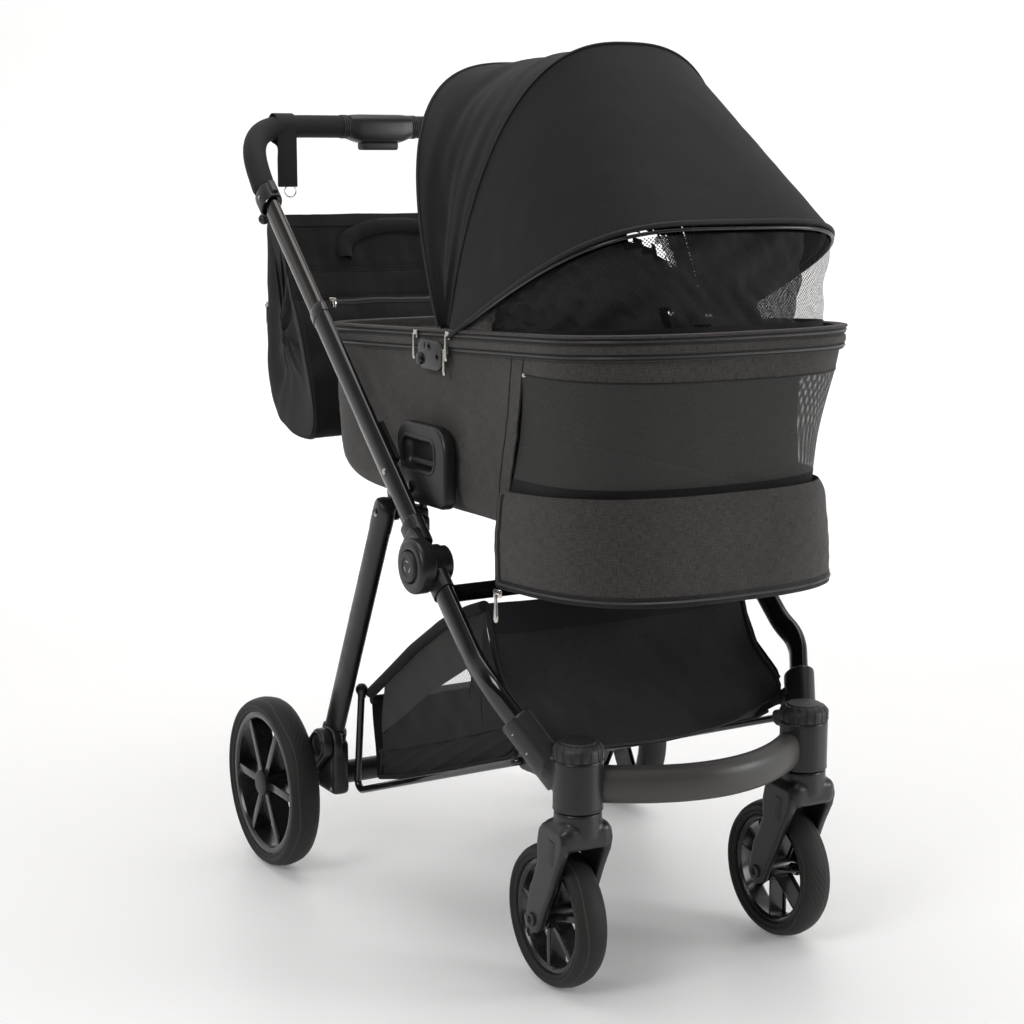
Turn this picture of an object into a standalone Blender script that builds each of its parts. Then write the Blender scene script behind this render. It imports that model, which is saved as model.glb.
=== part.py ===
"""Pet stroller: folding chassis, telescopic handle, lift-off carrycot, hood, basket and bag.

Units are metres, +Z is up and the stroller faces -Y. Lengths along Y are measured from the
front axle line; the "datum" empty then moves the whole model so that the origin lies on the
floor under the middle of its bounding box. "right" is +X and "left" is -X.
"""
import math

import bmesh
import bpy
from mathutils import Matrix, Vector

# ---------------------------------------------------------------- driving dimensions
Y_MIDDLE = 0.33275            # middle of the bounding box, measured from the front axle line
GAP = 0.0003                 # clearance between pieces that touch
SIDES = {"left": -1, "right": 1}

FRONT_R, FRONT_W = 0.0888, 0.040       # front wheel radius and tyre width
REAR_R, REAR_W = 0.1200, 0.042
TRACK_F, TRACK_R = 0.167, 0.2884       # half tracks of the front and rear wheels
REAR_Y = 0.5745                        # rear axle, behind the front axle
POST_Y = -0.046                        # caster post, ahead of the front axle (the trail)
POST_R, POST_Z0, POST_Z1 = 0.030, 0.2355, 0.2965
KNOB_TOP = 0.319

TUBE_X = 0.230                         # plane of the push tubes, front legs and rear legs
TUBE_A, TUBE_B = 0.018, 0.010          # push tube half depth (in plane) and half width
TUBE_WALL = 0.0016
SLOPE = math.radians(42.34)            # push tube angle above the floor
HUB = Vector((0.0, 0.200, 0.492))      # fold hub axis
SCOPE_S, CLAMP_S = 0.438, 0.655        # distances from the hub along the push tube
INNER_S = 0.262

LEG_TOP = Vector((0.0, 0.330, 0.540))  # rear leg pivot on the push frame
LEG_FOOT = Vector((0.0, 0.4920, 0.2095))
ARM_PIVOT = Vector((0.0, 0.486, 0.192))
BAR_Y, BAR_Z, BAR_R = 0.500, 0.141, 0.016
RAIL_X, RAIL_R = 0.205, 0.005
RAIL_PIVOT = Vector((0.0, 0.033, 0.277))

COT_W = 0.197                          # half width of the carrycot under its rim
COT_FRONT, COT_BACK = -0.148, 0.612
RIM_Z, RIM_SLOPE, RIM_Y = 0.762, -0.044, 0.20
SQUARE = 2.6                           # superellipse exponent of the carrycot's ends
BACK_SQUARE = 4.0                       # same for the rear corners, which are squarer
HINGE = Vector((0.0, 0.220, 0.7650))   # hood hinge axis
BOW_FRONT, BOW_MID, BOW_REAR = 25.0, 74.0, 111.0     # bow angles above the horizontal, degrees
R_FRONT, R_MID, R_REAR = 0.372, 0.377, 0.378         # bow reach from the hinge axis
HANDLE_Y, HANDLE_Z = 0.800, 1.037

# ---------------------------------------------------------------- scene and materials
for old in list(bpy.data.objects):
    bpy.data.objects.remove(old, do_unlink=True)

stroller = bpy.data.collections.new("pet_stroller")
bpy.context.scene.collection.children.link(stroller)
datum = bpy.data.objects.new("datum", None)
datum.location = (0.0, -Y_MIDDLE, 0.0)
stroller.objects.link(datum)


def material(name, colour, roughness, metallic=0.0):
    mat = bpy.data.materials.new(name)
    mat.use_nodes = True
    shader = mat.node_tree.nodes["Principled BSDF"]
    shader.inputs["Base Color"].default_value = (*colour, 1.0)
    shader.inputs["Roughness"].default_value = roughness
    shader.inputs["Metallic"].default_value = metallic
    return mat


FABRIC = material("charcoal_fabric", (0.042, 0.040, 0.038), 0.85)
DARK_FABRIC = material("black_fabric", (0.014, 0.014, 0.015), 0.85)
MESH = material("black_mesh", (0.010, 0.010, 0.010), 0.80)
PLASTIC = material("matt_plastic", (0.018, 0.018, 0.019), 0.50)
GLOSS = material("gloss_plastic", (0.008, 0.008, 0.009), 0.18)
TUBE_PAINT = material("gloss_tube", (0.010, 0.010, 0.011), 0.22, 0.6)
CHROME_BLACK = material("black_chrome", (0.030, 0.030, 0.032), 0.12, 1.0)
RUBBER = material("tyre_rubber", (0.016, 0.016, 0.016), 0.75)
GRIP = material("grip_wrap", (0.020, 0.020, 0.020), 0.70)
STEEL = material("steel", (0.45, 0.45, 0.46), 0.30, 1.0)


# ---------------------------------------------------------------- modelling helpers
def finish(name, mesh, mat, origin=(0.0, 0.0, 0.0)):
    """Put a closed mesh in the model under its own name, with its origin on a pivot."""
    form = bmesh.new()
    form.from_mesh(mesh)
    bmesh.ops.remove_doubles(form, verts=form.verts, dist=0.00002)
    bmesh.ops.dissolve_degenerate(form, edges=form.edges, dist=0.00001)
    bmesh.ops.recalc_face_normals(form, faces=form.faces)
    form.to_mesh(mesh)
    form.free()
    mesh.transform(Matrix.Translation(-Vector(origin)))
    mesh.materials.clear()
    mesh.materials.append(mat)
    mesh.shade_smooth()
    mesh.set_sharp_from_angle(angle=math.radians(35))
    mesh.name = name
    obj = bpy.data.objects.new(name, mesh)
    obj.location = origin
    obj.parent = datum
    stroller.objects.link(obj)
    return obj


def evaluated(source, modifiers=()):
    """Mesh of an object data block after the given (type, settings) modifiers."""
    temp = bpy.data.objects.new("temp", source)
    bpy.context.scene.collection.objects.link(temp)
    for kind, settings in modifiers:
        mod = temp.modifiers.new(kind.lower(), kind)
        for key, value in settings.items():
            setattr(mod, key, value)
    graph = bpy.context.evaluated_depsgraph_get()
    mesh = bpy.data.meshes.new_from_object(temp.evaluated_get(graph))
    bpy.data.objects.remove(temp, do_unlink=True)
    return mesh


def weld(mesh, distance=0.00005):
    form = bmesh.new()
    form.from_mesh(mesh)
    bmesh.ops.remove_doubles(form, verts=form.verts, dist=distance)
    bmesh.ops.recalc_face_normals(form, faces=form.faces)
    form.to_mesh(mesh)
    form.free()
    return mesh


def boolean(operation, first, *others):
    """Union or difference of closed meshes by the exact solver."""
    for other in others:
        tool = bpy.data.objects.new("tool", other)
        bpy.context.scene.collection.objects.link(tool)
        settings = {"operation": operation, "object": tool, "solver": "EXACT"}
        first = weld(evaluated(first, [("BOOLEAN", settings)]), 0.00002)
        bpy.data.objects.remove(tool, do_unlink=True)
    return first


def join(first, *others):
    return boolean("UNION", first, *others)


def cut(first, *others):
    return boolean("DIFFERENCE", first, *others)


def block(low, high, bevel=0.0, segments=2):
    """Box between two corners with rounded edges."""
    low, high = Vector(low), Vector(high)
    form = bmesh.new()
    bmesh.ops.create_cube(form, size=1.0)
    size = Matrix.Diagonal((*(high - low), 1.0))
    bmesh.ops.transform(form, matrix=Matrix.Translation((low + high) / 2) @ size, verts=form.verts)
    mesh = bpy.data.meshes.new("block")
    form.to_mesh(mesh)
    form.free()
    if bevel:
        mesh = evaluated(mesh, [("BEVEL", {"width": bevel, "segments": segments})])
    return mesh


def turned(profile, centre, axis="Z", steps=24, closed=False):
    """Spin a profile of (radius, height) points, given from top to bottom of the outer side."""
    mesh = bpy.data.meshes.new("profile")
    count = len(profile)
    edges = [(i, i + 1) for i in range(count - 1)]
    if closed:
        edges.append((count - 1, 0))
    mesh.from_pydata([(r, 0.0, z) for r, z in profile], edges, [])
    spin = {"steps": steps, "render_steps": steps, "use_merge_vertices": True,
            "merge_threshold": 0.00005}
    mesh = weld(evaluated(mesh, [("SCREW", spin)]))
    turn = {"Z": Matrix(), "X": Matrix.Rotation(math.pi / 2, 4, "Y"),
            "Y": Matrix.Rotation(-math.pi / 2, 4, "X")}[axis]
    mesh.transform(Matrix.Translation(centre) @ turn)
    return mesh


def rod(radius, start, end, sides=16):
    """Plain round bar between two points."""
    start, end = Vector(start), Vector(end)
    form = bmesh.new()
    bmesh.ops.create_cone(form, cap_ends=True, segments=sides, radius1=radius, radius2=radius,
                          depth=(end - start).length)
    aim = (end - start).to_track_quat("Z", "Y").to_matrix().to_4x4()
    bmesh.ops.transform(form, matrix=Matrix.Translation((start + end) / 2) @ aim, verts=form.verts)
    mesh = bpy.data.meshes.new("rod")
    form.to_mesh(mesh)
    form.free()
    return mesh


def rounded(points, radius, steps=5):
    """Path through corner points, with each corner replaced by an arc of the given radius."""
    points = [Vector(p) for p in points]
    path = [points[0]]
    for before, corner, after in zip(points, points[1:], points[2:]):
        into, out = (before - corner).normalized(), (after - corner).normalized()
        half = into.angle(out) / 2
        reach = min(radius / math.tan(half), 0.49 * (before - corner).length,
                    0.49 * (after - corner).length)
        centre = corner + (into + out).normalized() * (reach / math.cos(half))
        start, end = corner + into * reach - centre, corner + out * reach - centre
        bend = start.length
        for i in range(steps + 1):
            path.append(centre + start.normalized().slerp(end.normalized(), i / steps) * bend)
    path.append(points[-1])
    return path


def pipe(path, radius, resolution=3, squash=1.0, at_x=0.0, cyclic=False):
    """Round bar along a path; squash flattens its section along X about the plane at_x."""
    curve = bpy.data.curves.new("pipe", "CURVE")
    curve.dimensions = "3D"
    curve.bevel_depth = radius
    curve.bevel_resolution = resolution
    curve.use_fill_caps = not cyclic
    spline = curve.splines.new("POLY")
    spline.use_cyclic_u = cyclic
    spline.points.add(len(path) - 1)
    for point, place in zip(spline.points, path):
        point.co = ((place[0] - at_x) / squash, place[1], place[2], 1.0)
    mesh = weld(evaluated(curve))
    mesh.transform(Matrix.Translation((at_x, 0, 0)) @ Matrix.Diagonal((squash, 1, 1, 1)))
    return mesh


def plate(outline, x0, x1):
    """Flat plate with a (y, z) outline, between two X planes."""
    curve = bpy.data.curves.new("plate", "CURVE")
    curve.dimensions = "2D"
    curve.fill_mode = "BOTH"
    curve.extrude = abs(x1 - x0) / 2
    spline = curve.splines.new("POLY")
    spline.use_cyclic_u = True
    spline.points.add(len(outline) - 1)
    for point, (y, z) in zip(spline.points, outline):
        point.co = (y, z, 0.0, 1.0)
    mesh = weld(evaluated(curve))
    stand_up = Matrix(((0, 0, 1, (x0 + x1) / 2), (1, 0, 0, 0), (0, 1, 0, 0), (0, 0, 0, 1)))
    mesh.transform(stand_up)
    return mesh


def loft(rings, caps=True, ring_closed=True, ends_meet=False):
    """Skin over rings of equal point count, each ring a list of points."""
    count = len(rings[0])
    verts = [tuple(p) for ring in rings for p in ring]
    faces = []
    rows = len(rings) if ends_meet else len(rings) - 1
    columns = count if ring_closed else count - 1
    for i in range(rows):
        for j in range(columns):
            a, b = i * count, ((i + 1) % len(rings)) * count
            k = (j + 1) % count
            faces.append((a + j, a + k, b + k, b + j))
    if caps:
        faces.append(tuple(range(count))[::-1])
        faces.append(tuple(range((len(rings) - 1) * count, len(rings) * count)))
    mesh = bpy.data.meshes.new("loft")
    mesh.from_pydata(verts, [], faces)
    return weld(mesh)


def shell(mesh, thickness, offset):
    """Give an open surface a thickness; offset 1 grows outward, -1 inward."""
    return evaluated(mesh, [("SOLIDIFY", {"thickness": thickness, "offset": offset,
                                          "use_even_offset": True})])


def mirrored(mesh, side):
    """Copy of a right-hand mesh, reflected for the left-hand side."""
    copy = mesh.copy()
    if side < 0:
        copy.transform(Matrix.Diagonal((-1, 1, 1, 1)))
        copy.flip_normals()
    return copy


def pair(name, mesh, mat, origin=(0.0, 0.0, 0.0)):
    """The left and right pieces of a mirrored pair, as two objects."""
    for word, side in SIDES.items():
        place = (origin[0] * side, origin[1], origin[2])
        finish(f"{name}_{word}", mirrored(mesh, side), mat, place)


def arc(centre, radius, start, end, steps):
    """Points (y, z) on an arc, angles in degrees from +Y towards +Z."""
    angles = [math.radians(start + (end - start) * i / steps) for i in range(steps + 1)]
    return [(centre[0] + radius * math.cos(a), centre[1] + radius * math.sin(a)) for a in angles]


def along_tube(distance, across=0.0, x=TUBE_X):
    """Point at a distance from the hub along the push tube line, and across it (upward)."""
    return Vector((x, HUB.y + distance * math.cos(SLOPE) - across * math.sin(SLOPE),
                   HUB.z + distance * math.sin(SLOPE) + across * math.cos(SLOPE)))


def along_leg(fraction, x=TUBE_X):
    """Point on the rear leg's centre line, from its pivot (0) to its foot (1)."""
    point = LEG_TOP.lerp(LEG_FOOT, fraction)
    return Vector((x, point.y, point.z))


# ---------------------------------------------------------------- front frame
def front_frame():
    sleeve_top, sleeve_end = Vector((0.2125, 0.0237, 0.3345)), Vector((0.178, -0.028, 0.266))
    down = (sleeve_end - sleeve_top).normalized()
    straight = along_tube(-0.152)
    leg_path = rounded([along_tube(-0.0365), straight, sleeve_top - down * 0.048,
                        sleeve_top + down * 0.010], 0.09, 4)
    tube = pipe(leg_path, TUBE_A, 2, TUBE_B / TUBE_A, TUBE_X)
    disc = rod(0.033, (0.2203, HUB.y, HUB.z), (0.2388, HUB.y, HUB.z), 28)
    neck = block((0.2206, -0.0480, -0.0160), (0.2385, -0.0150, 0.0160))
    neck.transform(Matrix.Translation(HUB) @ Matrix.Rotation(SLOPE, 4, "X"))
    pin = rod(0.0060, (0.2300, HUB.y, HUB.z), (0.2475, HUB.y, HUB.z), 16)
    socket_room = rod(0.035, sleeve_top - down * 0.0006, sleeve_end + down * 0.02, 16)
    pair("front_leg", cut(join(disc, neck, tube, pin), socket_room), TUBE_PAINT)

    post = rod(POST_R, (TRACK_F, POST_Y, POST_Z0), (TRACK_F, POST_Y, POST_Z1), 24)
    sleeve = rod(0.0205, sleeve_top, sleeve_end, 20)
    pivot = (RAIL_PIVOT.y, RAIL_PIVOT.z)
    lug_outline = arc(pivot, 0.0105, -90, 90, 6) + [(-0.015, 0.292), (-0.030, 0.270)]
    lug = plate(lug_outline, 0.1850, 0.1985)
    socket = rod(0.0085, (TRACK_F, POST_Y, POST_Z0 - 0.01), (TRACK_F, POST_Y, 0.276), 16)
    pin_hole = rod(0.0056, (0.180, *pivot), (0.210, *pivot), 12)
    knob_room = rod(0.0318, (TRACK_F, POST_Y, POST_Z1), (TRACK_F, POST_Y, 0.36), 24)
    housing = cut(join(post, sleeve, lug), socket, pin_hole, knob_room)
    pair("caster_housing", housing, PLASTIC)

    knob_profile = [(0.0, KNOB_TOP), (0.0225, KNOB_TOP), (0.0250, KNOB_TOP - 0.0015),
                    (0.0262, KNOB_TOP - 0.004), (0.0305, KNOB_TOP - 0.005),
                    (0.0312, KNOB_TOP - 0.0075), (0.0312, POST_Z1 + 0.002),
                    (0.0300, POST_Z1 + GAP), (0.0, POST_Z1 + GAP)]
    post_top = (TRACK_F, POST_Y, 0.0)
    pair("swivel_knob", turned(knob_profile, post_top, "Z", 24), PLASTIC, post_top)

    reach, bow, height = 0.155, 0.066, 0.262
    path = []
    for i in range(17):
        x = reach * (2 * i / 16 - 1)
        path.append((x, POST_Y + 0.008 - bow * (1 - (x / reach) ** 2), 0.0))
    crossbar = pipe(path, 0.0165, 2)
    crossbar.transform(Matrix.Translation((0, 0, height)) @ Matrix.Diagonal((1, 1, 1.36, 1)))
    clear = [rod(POST_R + GAP, (side * TRACK_F, POST_Y, 0.2), (side * TRACK_F, POST_Y, 0.33), 24)
             for side in SIDES.values()]
    finish("front_crossbar", cut(crossbar, *clear), PLASTIC)

    end = TUBE_X - TUBE_B - GAP
    finish("leg_cross_tube", rod(0.011, (-end, 0.1735, 0.458), (end, 0.1735, 0.458), 16), TUBE_PAINT)


# ---------------------------------------------------------------- wheels
def tyre(radius, width, seat):
    """Closed tyre section: rounded tread, straight walls and a flat bead."""
    half = width / 2
    upper = [(seat, half * 0.85), (radius - 0.010, half), (radius - 0.0032, half * 0.70),
             (radius, half * 0.26)]
    return upper + [(r, -x) for r, x in reversed(upper)]


def spoked_rim(steps, seat, inner, half, hub_r, hub_half, spokes, spoke_w, face, bore, blind):
    """Wheel body about the X axis at the origin; the spokes sit near the +X face."""
    ring = [(seat, half), (seat, -half), (inner, -half), (inner, half)]
    body = turned(ring, (0, 0, 0), "X", steps, closed=True)
    hub = rod(hub_r, (-hub_half, 0, 0), (hub_half, 0, 0), 16)
    arms = []
    for i in range(spokes):
        arm = block((face - 0.011, -spoke_w / 2, hub_r * 0.72), (face, spoke_w / 2, inner + 0.002))
        arm.transform(Matrix.Rotation(2 * math.pi * (i + 0.5) / spokes, 4, "X"))
        arms.append(arm)
    wheel = join(body, *arms, hub)
    hole_end = hub_half - 0.006 if blind else hub_half + 0.01
    return cut(wheel, rod(bore, (-hub_half - 0.01, 0, 0), (hole_end, 0, 0), 16))


def front_casters():
    axle = (0.0, FRONT_R)
    leg_outline = (arc(axle, 0.0165, -160, 10, 7)
                   + [(0.008, 0.132), (-0.012, 0.172), (-0.020, 0.214), (-0.072, 0.214),
                      (-0.066, 0.186), (-0.040, 0.135)])
    fork = join(block((-0.0352, -0.0735, 0.1900), (0.0352, -0.0165, 0.2245), 0.008, 2),
                rod(0.0285, (0, POST_Y, 0.2150), (0, POST_Y, POST_Z0 - 0.001), 24),
                plate(leg_outline, 0.0245, 0.0350), plate(leg_outline, -0.0350, -0.0245),
                rod(0.0080, (0, POST_Y, 0.2200), (0, POST_Y, 0.2700), 16),
                rod(0.0050, (-0.0362, *axle), (0.0362, *axle), 16))
    seat = 0.0705
    wheel_tyre = turned(tyre(FRONT_R, FRONT_W, seat), (0, 0, 0), "X", 32, closed=True)
    rim = spoked_rim(32, seat - GAP, 0.0625, 0.0145, 0.0150, 0.0225, 7, 0.0085, 0.0125, 0.0054, False)
    for word, side in SIDES.items():
        post = (side * TRACK_F, POST_Y, POST_Z0)
        hub = (side * TRACK_F, *axle)
        fork_copy = mirrored(fork, side)
        fork_copy.transform(Matrix.Translation((side * TRACK_F, 0, 0)))
        finish(f"caster_fork_{word}", fork_copy, PLASTIC, post)
        for name, mesh, mat in (("front_tyre", wheel_tyre, RUBBER), ("front_rim", rim, GLOSS)):
            copy = mirrored(mesh, side)
            copy.transform(Matrix.Translation(hub))
            finish(f"{name}_{word}", copy, mat, hub)


def rear_wheels():
    seat = 0.1010
    hub = (TRACK_R, REAR_Y, REAR_R)
    wheel_tyre = turned(tyre(REAR_R, REAR_W, seat), hub, "X", 36, closed=True)
    rim = spoked_rim(36, seat - GAP, 0.0910, 0.0165, 0.0175, 0.0205, 6, 0.0100, 0.0140, 0.0064, True)
    rim.transform(Matrix.Translation(hub))
    pair("rear_tyre", wheel_tyre, RUBBER, hub)
    pair("rear_rim", rim, GLOSS, hub)


# ---------------------------------------------------------------- push frame
def push_frame():
    outer = pipe([along_tube(0.0530), along_tube(SCOPE_S)], TUBE_A, 2, TUBE_B / TUBE_A, TUBE_X)
    bore_a, bore_b = TUBE_A - TUBE_WALL, TUBE_B - TUBE_WALL * 0.8
    bore = pipe([along_tube(0.0), along_tube(0.6)], bore_a, 2, bore_b / bore_a, TUBE_X)
    pair("push_tube", cut(outer, bore), TUBE_PAINT, (0, HUB.y, HUB.z))

    disc = rod(0.035, (0.2392, HUB.y, HUB.z), (0.2620, HUB.y, HUB.z), 28)
    tilt = (Matrix.Translation(HUB) @ Matrix.Rotation(SLOPE, 4, "X"))
    knuckle = block((0.2172, 0.0365, -0.0205), (0.2580, 0.0525, 0.0205), 0.003, 1)
    bridge = block((0.2398, 0.0100, -0.0190), (0.2570, 0.0480, 0.0190), 0.002, 1)
    for piece in (knuckle, bridge):
        piece.transform(tilt)
    well = rod(0.0203, (0.2515, HUB.y, HUB.z), (0.27, HUB.y, HUB.z), 24)
    pin_hole = rod(0.0064, (0.23, HUB.y, HUB.z), (0.2485, HUB.y, HUB.z), 16)
    shelf = block((0.1970, 0.2090, 0.5200), (0.2195, 0.2980, 0.5535), 0.004, 2)
    peg = block((0.2000, 0.2320, 0.5480), (0.2076, 0.2770, 0.5760), 0.002, 1)
    cover = cut(join(disc, bridge, knuckle, shelf, peg), well, pin_hole)
    pair("hub_cover", cover, PLASTIC, (0, HUB.y, HUB.z))
    button_profile = [(0.0, 0.2655), (0.0165, 0.2655), (0.0190, 0.2648), (0.0198, 0.2630),
                      (0.0198, 0.2560), (0.0, 0.2560)]
    pair("hub_button", turned(button_profile, (0, HUB.y, HUB.z), "X", 24), PLASTIC,
         (0.256, HUB.y, HUB.z))

    pivot = (LEG_TOP.y, LEG_TOP.z)
    tube_a, tube_b = along_tube(0.165, -0.004), along_tube(0.228, 0.004)
    ear_outline = (arc(pivot, 0.0135, -150, 20, 6) + [(tube_b.y, tube_b.z), (tube_a.y, tube_a.z)])
    ear = plate(ear_outline, 0.2125, 0.2172)
    pad_outline = [tuple(along_tube(s, c).yz) for s, c in
                   ((0.165, -0.010), (0.228, -0.010), (0.228, 0.010), (0.165, 0.010))]
    pad = plate(pad_outline, 0.2135, 0.2196)
    pin = rod(0.0040, (0.2140, *pivot), (0.2440, *pivot), 12)
    pair("leg_bracket", join(ear, pad, pin), PLASTIC, (0, HUB.y, HUB.z))


# ---------------------------------------------------------------- rear frame
def rear_frame():
    pivot = (LEG_TOP.y, LEG_TOP.z)
    squash = 0.012 / 0.0175
    leg = pipe([along_leg(-0.012), along_leg(1.0)], 0.0175, 2, squash, TUBE_X)
    cap = turned([(0.0, 0.2424), (0.0150, 0.2424), (0.0172, 0.2405), (0.0172, 0.2195),
                  (0.0150, 0.2178), (0.0, 0.2178)], (0, *pivot), "X", 20)
    hole = rod(0.0044, (0.20, *pivot), (0.26, *pivot), 12)
    pair("rear_leg", cut(join(leg, cap), hole), TUBE_PAINT, (0, *pivot))

    beam = rod(BAR_R, (-0.2240, BAR_Y, BAR_Z), (0.2240, BAR_Y, BAR_Z), 24)
    for side in SIDES.values():
        bracket = mirrored(block((0.2175, 0.4690, 0.1180),
                                 (0.2436, 0.5280, LEG_FOOT.z - 0.0135), 0.006, 2), side)
        stub = rod(0.0060, (side * 0.2300, ARM_PIVOT.y, ARM_PIVOT.z),
                   (side * 0.2595, ARM_PIVOT.y, ARM_PIVOT.z), 16)
        beam = join(beam, bracket, stub)
    finish("rear_beam", beam, PLASTIC, (0, *pivot))

    start, end = (ARM_PIVOT.y, ARM_PIVOT.z), (REAR_Y, REAR_R)
    angle = math.degrees(math.atan2(end[1] - start[1], end[0] - start[0]))
    outline = arc(start, 0.0215, angle + 90, angle + 270, 9) + arc(end, 0.0190, angle - 90,
                                                                   angle + 90, 9)
    arm = join(plate(outline, 0.2441, 0.2600), rod(0.0060, (0.2500, *end), (0.3020, *end), 16))
    arm = cut(arm, rod(0.0064, (0.24, *start), (0.27, *start), 16))
    pair("suspension_arm", arm, PLASTIC, (0, *start))

    tread = block((-0.048, 0.5180, 0.1340), (0.048, 0.5620, 0.1460), 0.004, 2)
    clamp = rod(0.0215, (-0.040, BAR_Y, BAR_Z), (0.040, BAR_Y, BAR_Z), 24)
    bar_hole = rod(BAR_R + 0.0006, (-0.06, BAR_Y, BAR_Z), (0.06, BAR_Y, BAR_Z), 24)
    finish("brake_pedal", cut(join(clamp, tread), bar_hole), PLASTIC, (0, BAR_Y, BAR_Z))


# ---------------------------------------------------------------- basket
def basket():
    corners = [(0.1895, RAIL_PIVOT.y, RAIL_PIVOT.z), (RAIL_X, RAIL_PIVOT.y, RAIL_PIVOT.z),
               (RAIL_X, 0.115, 0.2480), (RAIL_X, 0.4740, 0.1195), (RAIL_X, 0.4560, 0.2670)]
    pair("basket_rail", pipe(rounded(corners, 0.012, 3), RAIL_R, 1), TUBE_PAINT,
         (0, RAIL_PIVOT.y, RAIL_PIVOT.z))
    half, wall = 0.1830, 0.004
    outside = [(0.440, 0.139), (0.070, 0.268), (0.030, 0.300), (0.134, 0.432), (0.200, 0.418),
               (0.250, 0.394), (0.323, 0.352), (0.452, 0.262)]
    inside = [(0.435, 0.146), (0.072, 0.273), (0.038, 0.302), (0.134, 0.4245), (0.134, 0.480),
              (0.4685, 0.480)]
    tub = cut(plate(outside, -half, half), plate(inside, wall - half, half - wall))
    finish("basket", tub, DARK_FABRIC, (0, RAIL_PIVOT.y, RAIL_PIVOT.z))


# ---------------------------------------------------------------- carrycot
def plan(width, front, back, height, slope, count=48, straight=0.40):
    """Closed plan ring of the carrycot: a superellipse at each end and straight sides."""
    ring = []
    length = back - front
    ahead = straight * length / 2
    middle_f, middle_b = front + ahead, back - ahead
    for i in range(count):
        turn = 2 * math.pi * i / count
        c, s = math.cos(turn), math.sin(turn)
        square = BACK_SQUARE if s >= 0 else SQUARE
        x = width * math.copysign(abs(c) ** (2 / square), c)
        reach = ahead * abs(s) ** (2 / square)
        y = middle_b + reach if s >= 0 else middle_f - reach
        ring.append((x, y, height + slope * (y - RIM_Y)))
    return ring


COT_LEVELS = [  # half width, front, back, height, share of the rim's slope
    (0.130, -0.030, 0.440, 0.545, 0.0), (0.166, -0.066, 0.520, 0.549, 0.1),
    (0.182, -0.090, 0.580, 0.566, 0.3), (0.189, -0.110, 0.610, 0.603, 0.6),
    (0.191, -0.126, 0.616, 0.660, 0.8), (COT_W, COT_FRONT, COT_BACK, RIM_Z, 1.0)]


def carrycot():
    rings = [plan(w, f, b, z, RIM_SLOPE * k) for w, f, b, z, k in COT_LEVELS]
    verts = [p for ring in rings for p in ring]
    count = len(rings[0])
    faces = [tuple(range(count))[::-1]]
    for i in range(len(rings) - 1):
        for j in range(count):
            k = (j + 1) % count
            faces.append((i * count + j, i * count + k, (i + 1) * count + k, (i + 1) * count + j))
    skin = bpy.data.meshes.new("cot")
    skin.from_pydata(verts, [], faces)
    finish("cot_shell", shell(weld(skin), 0.005, -1), FABRIC)

    low, high = RIM_Z + 0.0017, RIM_Z + 0.021
    grow, shrink = 0.0065, 0.007
    section = [(grow, low), (grow, high), (-shrink, high), (-shrink, low)]
    rim_rings = [plan(COT_W + g, COT_FRONT - g, COT_BACK + g, z, RIM_SLOPE) for g, z in section]
    finish("cot_rim", loft(rim_rings, caps=False, ends_meet=True), FABRIC)

    inset = 0.012
    pad_low = plan(0.122, -0.022, 0.422, 0.5515, 0.0, 32)
    pad_mid = plan(0.157, -0.052, 0.476, 0.560, 0.0, 32)
    pad_high = plan(0.170 - inset / 3, -0.074, 0.512, 0.585, 0.0, 32)
    finish("mattress", loft([pad_low, pad_mid, pad_high]), DARK_FABRIC)

    lid = []
    for grow, z in ((-0.0125, RIM_Z + 0.004), (-0.0125, RIM_Z + 0.012)):
        ring = plan(COT_W + grow, 0.262, COT_BACK + grow, z, RIM_SLOPE, 36, 0.9)
        lid.append(ring)
    finish("rear_cover", loft(lid), FABRIC)

    flap_rows = []
    for width, front, z, lean in ((0.1995, -0.126, 0.592, -0.055), (0.2000, -0.136, 0.535, -0.040),
                                  (0.2005, -0.143, 0.477, -0.027)):
        row = []
        for i in range(25):
            turn = math.pi * i / 24
            x = -width * math.copysign(abs(math.cos(turn)) ** (2 / 3.0), math.cos(turn))
            y = 0.088 - (0.088 - front) * math.sin(turn) ** (2 / 3.0)
            row.append((x, y, z + lean * (y - RIM_Y)))
        flap_rows.append(row)
    flap = loft(flap_rows, caps=False, ring_closed=False)
    finish("front_flap", shell(flap, 0.003, -1), FABRIC)

    outline = (arc((0.302, 0.632), 0.028, -10, 90, 4) + arc((0.232, 0.626), 0.034, 90, 180, 4)
               + arc((0.212, 0.571), 0.014, 180, 270, 4) + arc((0.298, 0.567), 0.010, 270, 350, 3))
    housing = plate(outline, 0.1945, 0.2118)
    window = block((0.1985, 0.2280, 0.6020), (0.23, 0.3120, 0.6400), 0.006, 2)
    slot = block((0.1985, 0.2300, 0.540), (0.2090, 0.2790, 0.5800))
    pair("cot_mount", cut(housing, window, slot), PLASTIC)
    lever = block((0.1993, 0.2380, 0.6060), (0.2080, 0.3000, 0.6140), 0.003, 1)
    pair("release_lever", lever, PLASTIC, (0.2035, 0.269, 0.6100))


# ---------------------------------------------------------------- hood
def arch(degrees, reach, width, square, low, count, hinge=HINGE):
    """Points of a bow: a superellipse arch standing on the hinge axis, from -X to +X."""
    lean = math.radians(degrees)
    start = math.asin((low / reach) ** (square / 2))
    points = []
    for i in range(count):
        turn = start + (math.pi - 2 * start) * i / (count - 1)
        x = -width * math.copysign(abs(math.cos(turn)) ** (2 / square), math.cos(turn))
        r = reach * math.sin(turn) ** (2 / square)
        points.append((x, hinge.y - r * math.cos(lean), hinge.z + r * math.sin(lean)))
    return points


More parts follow.
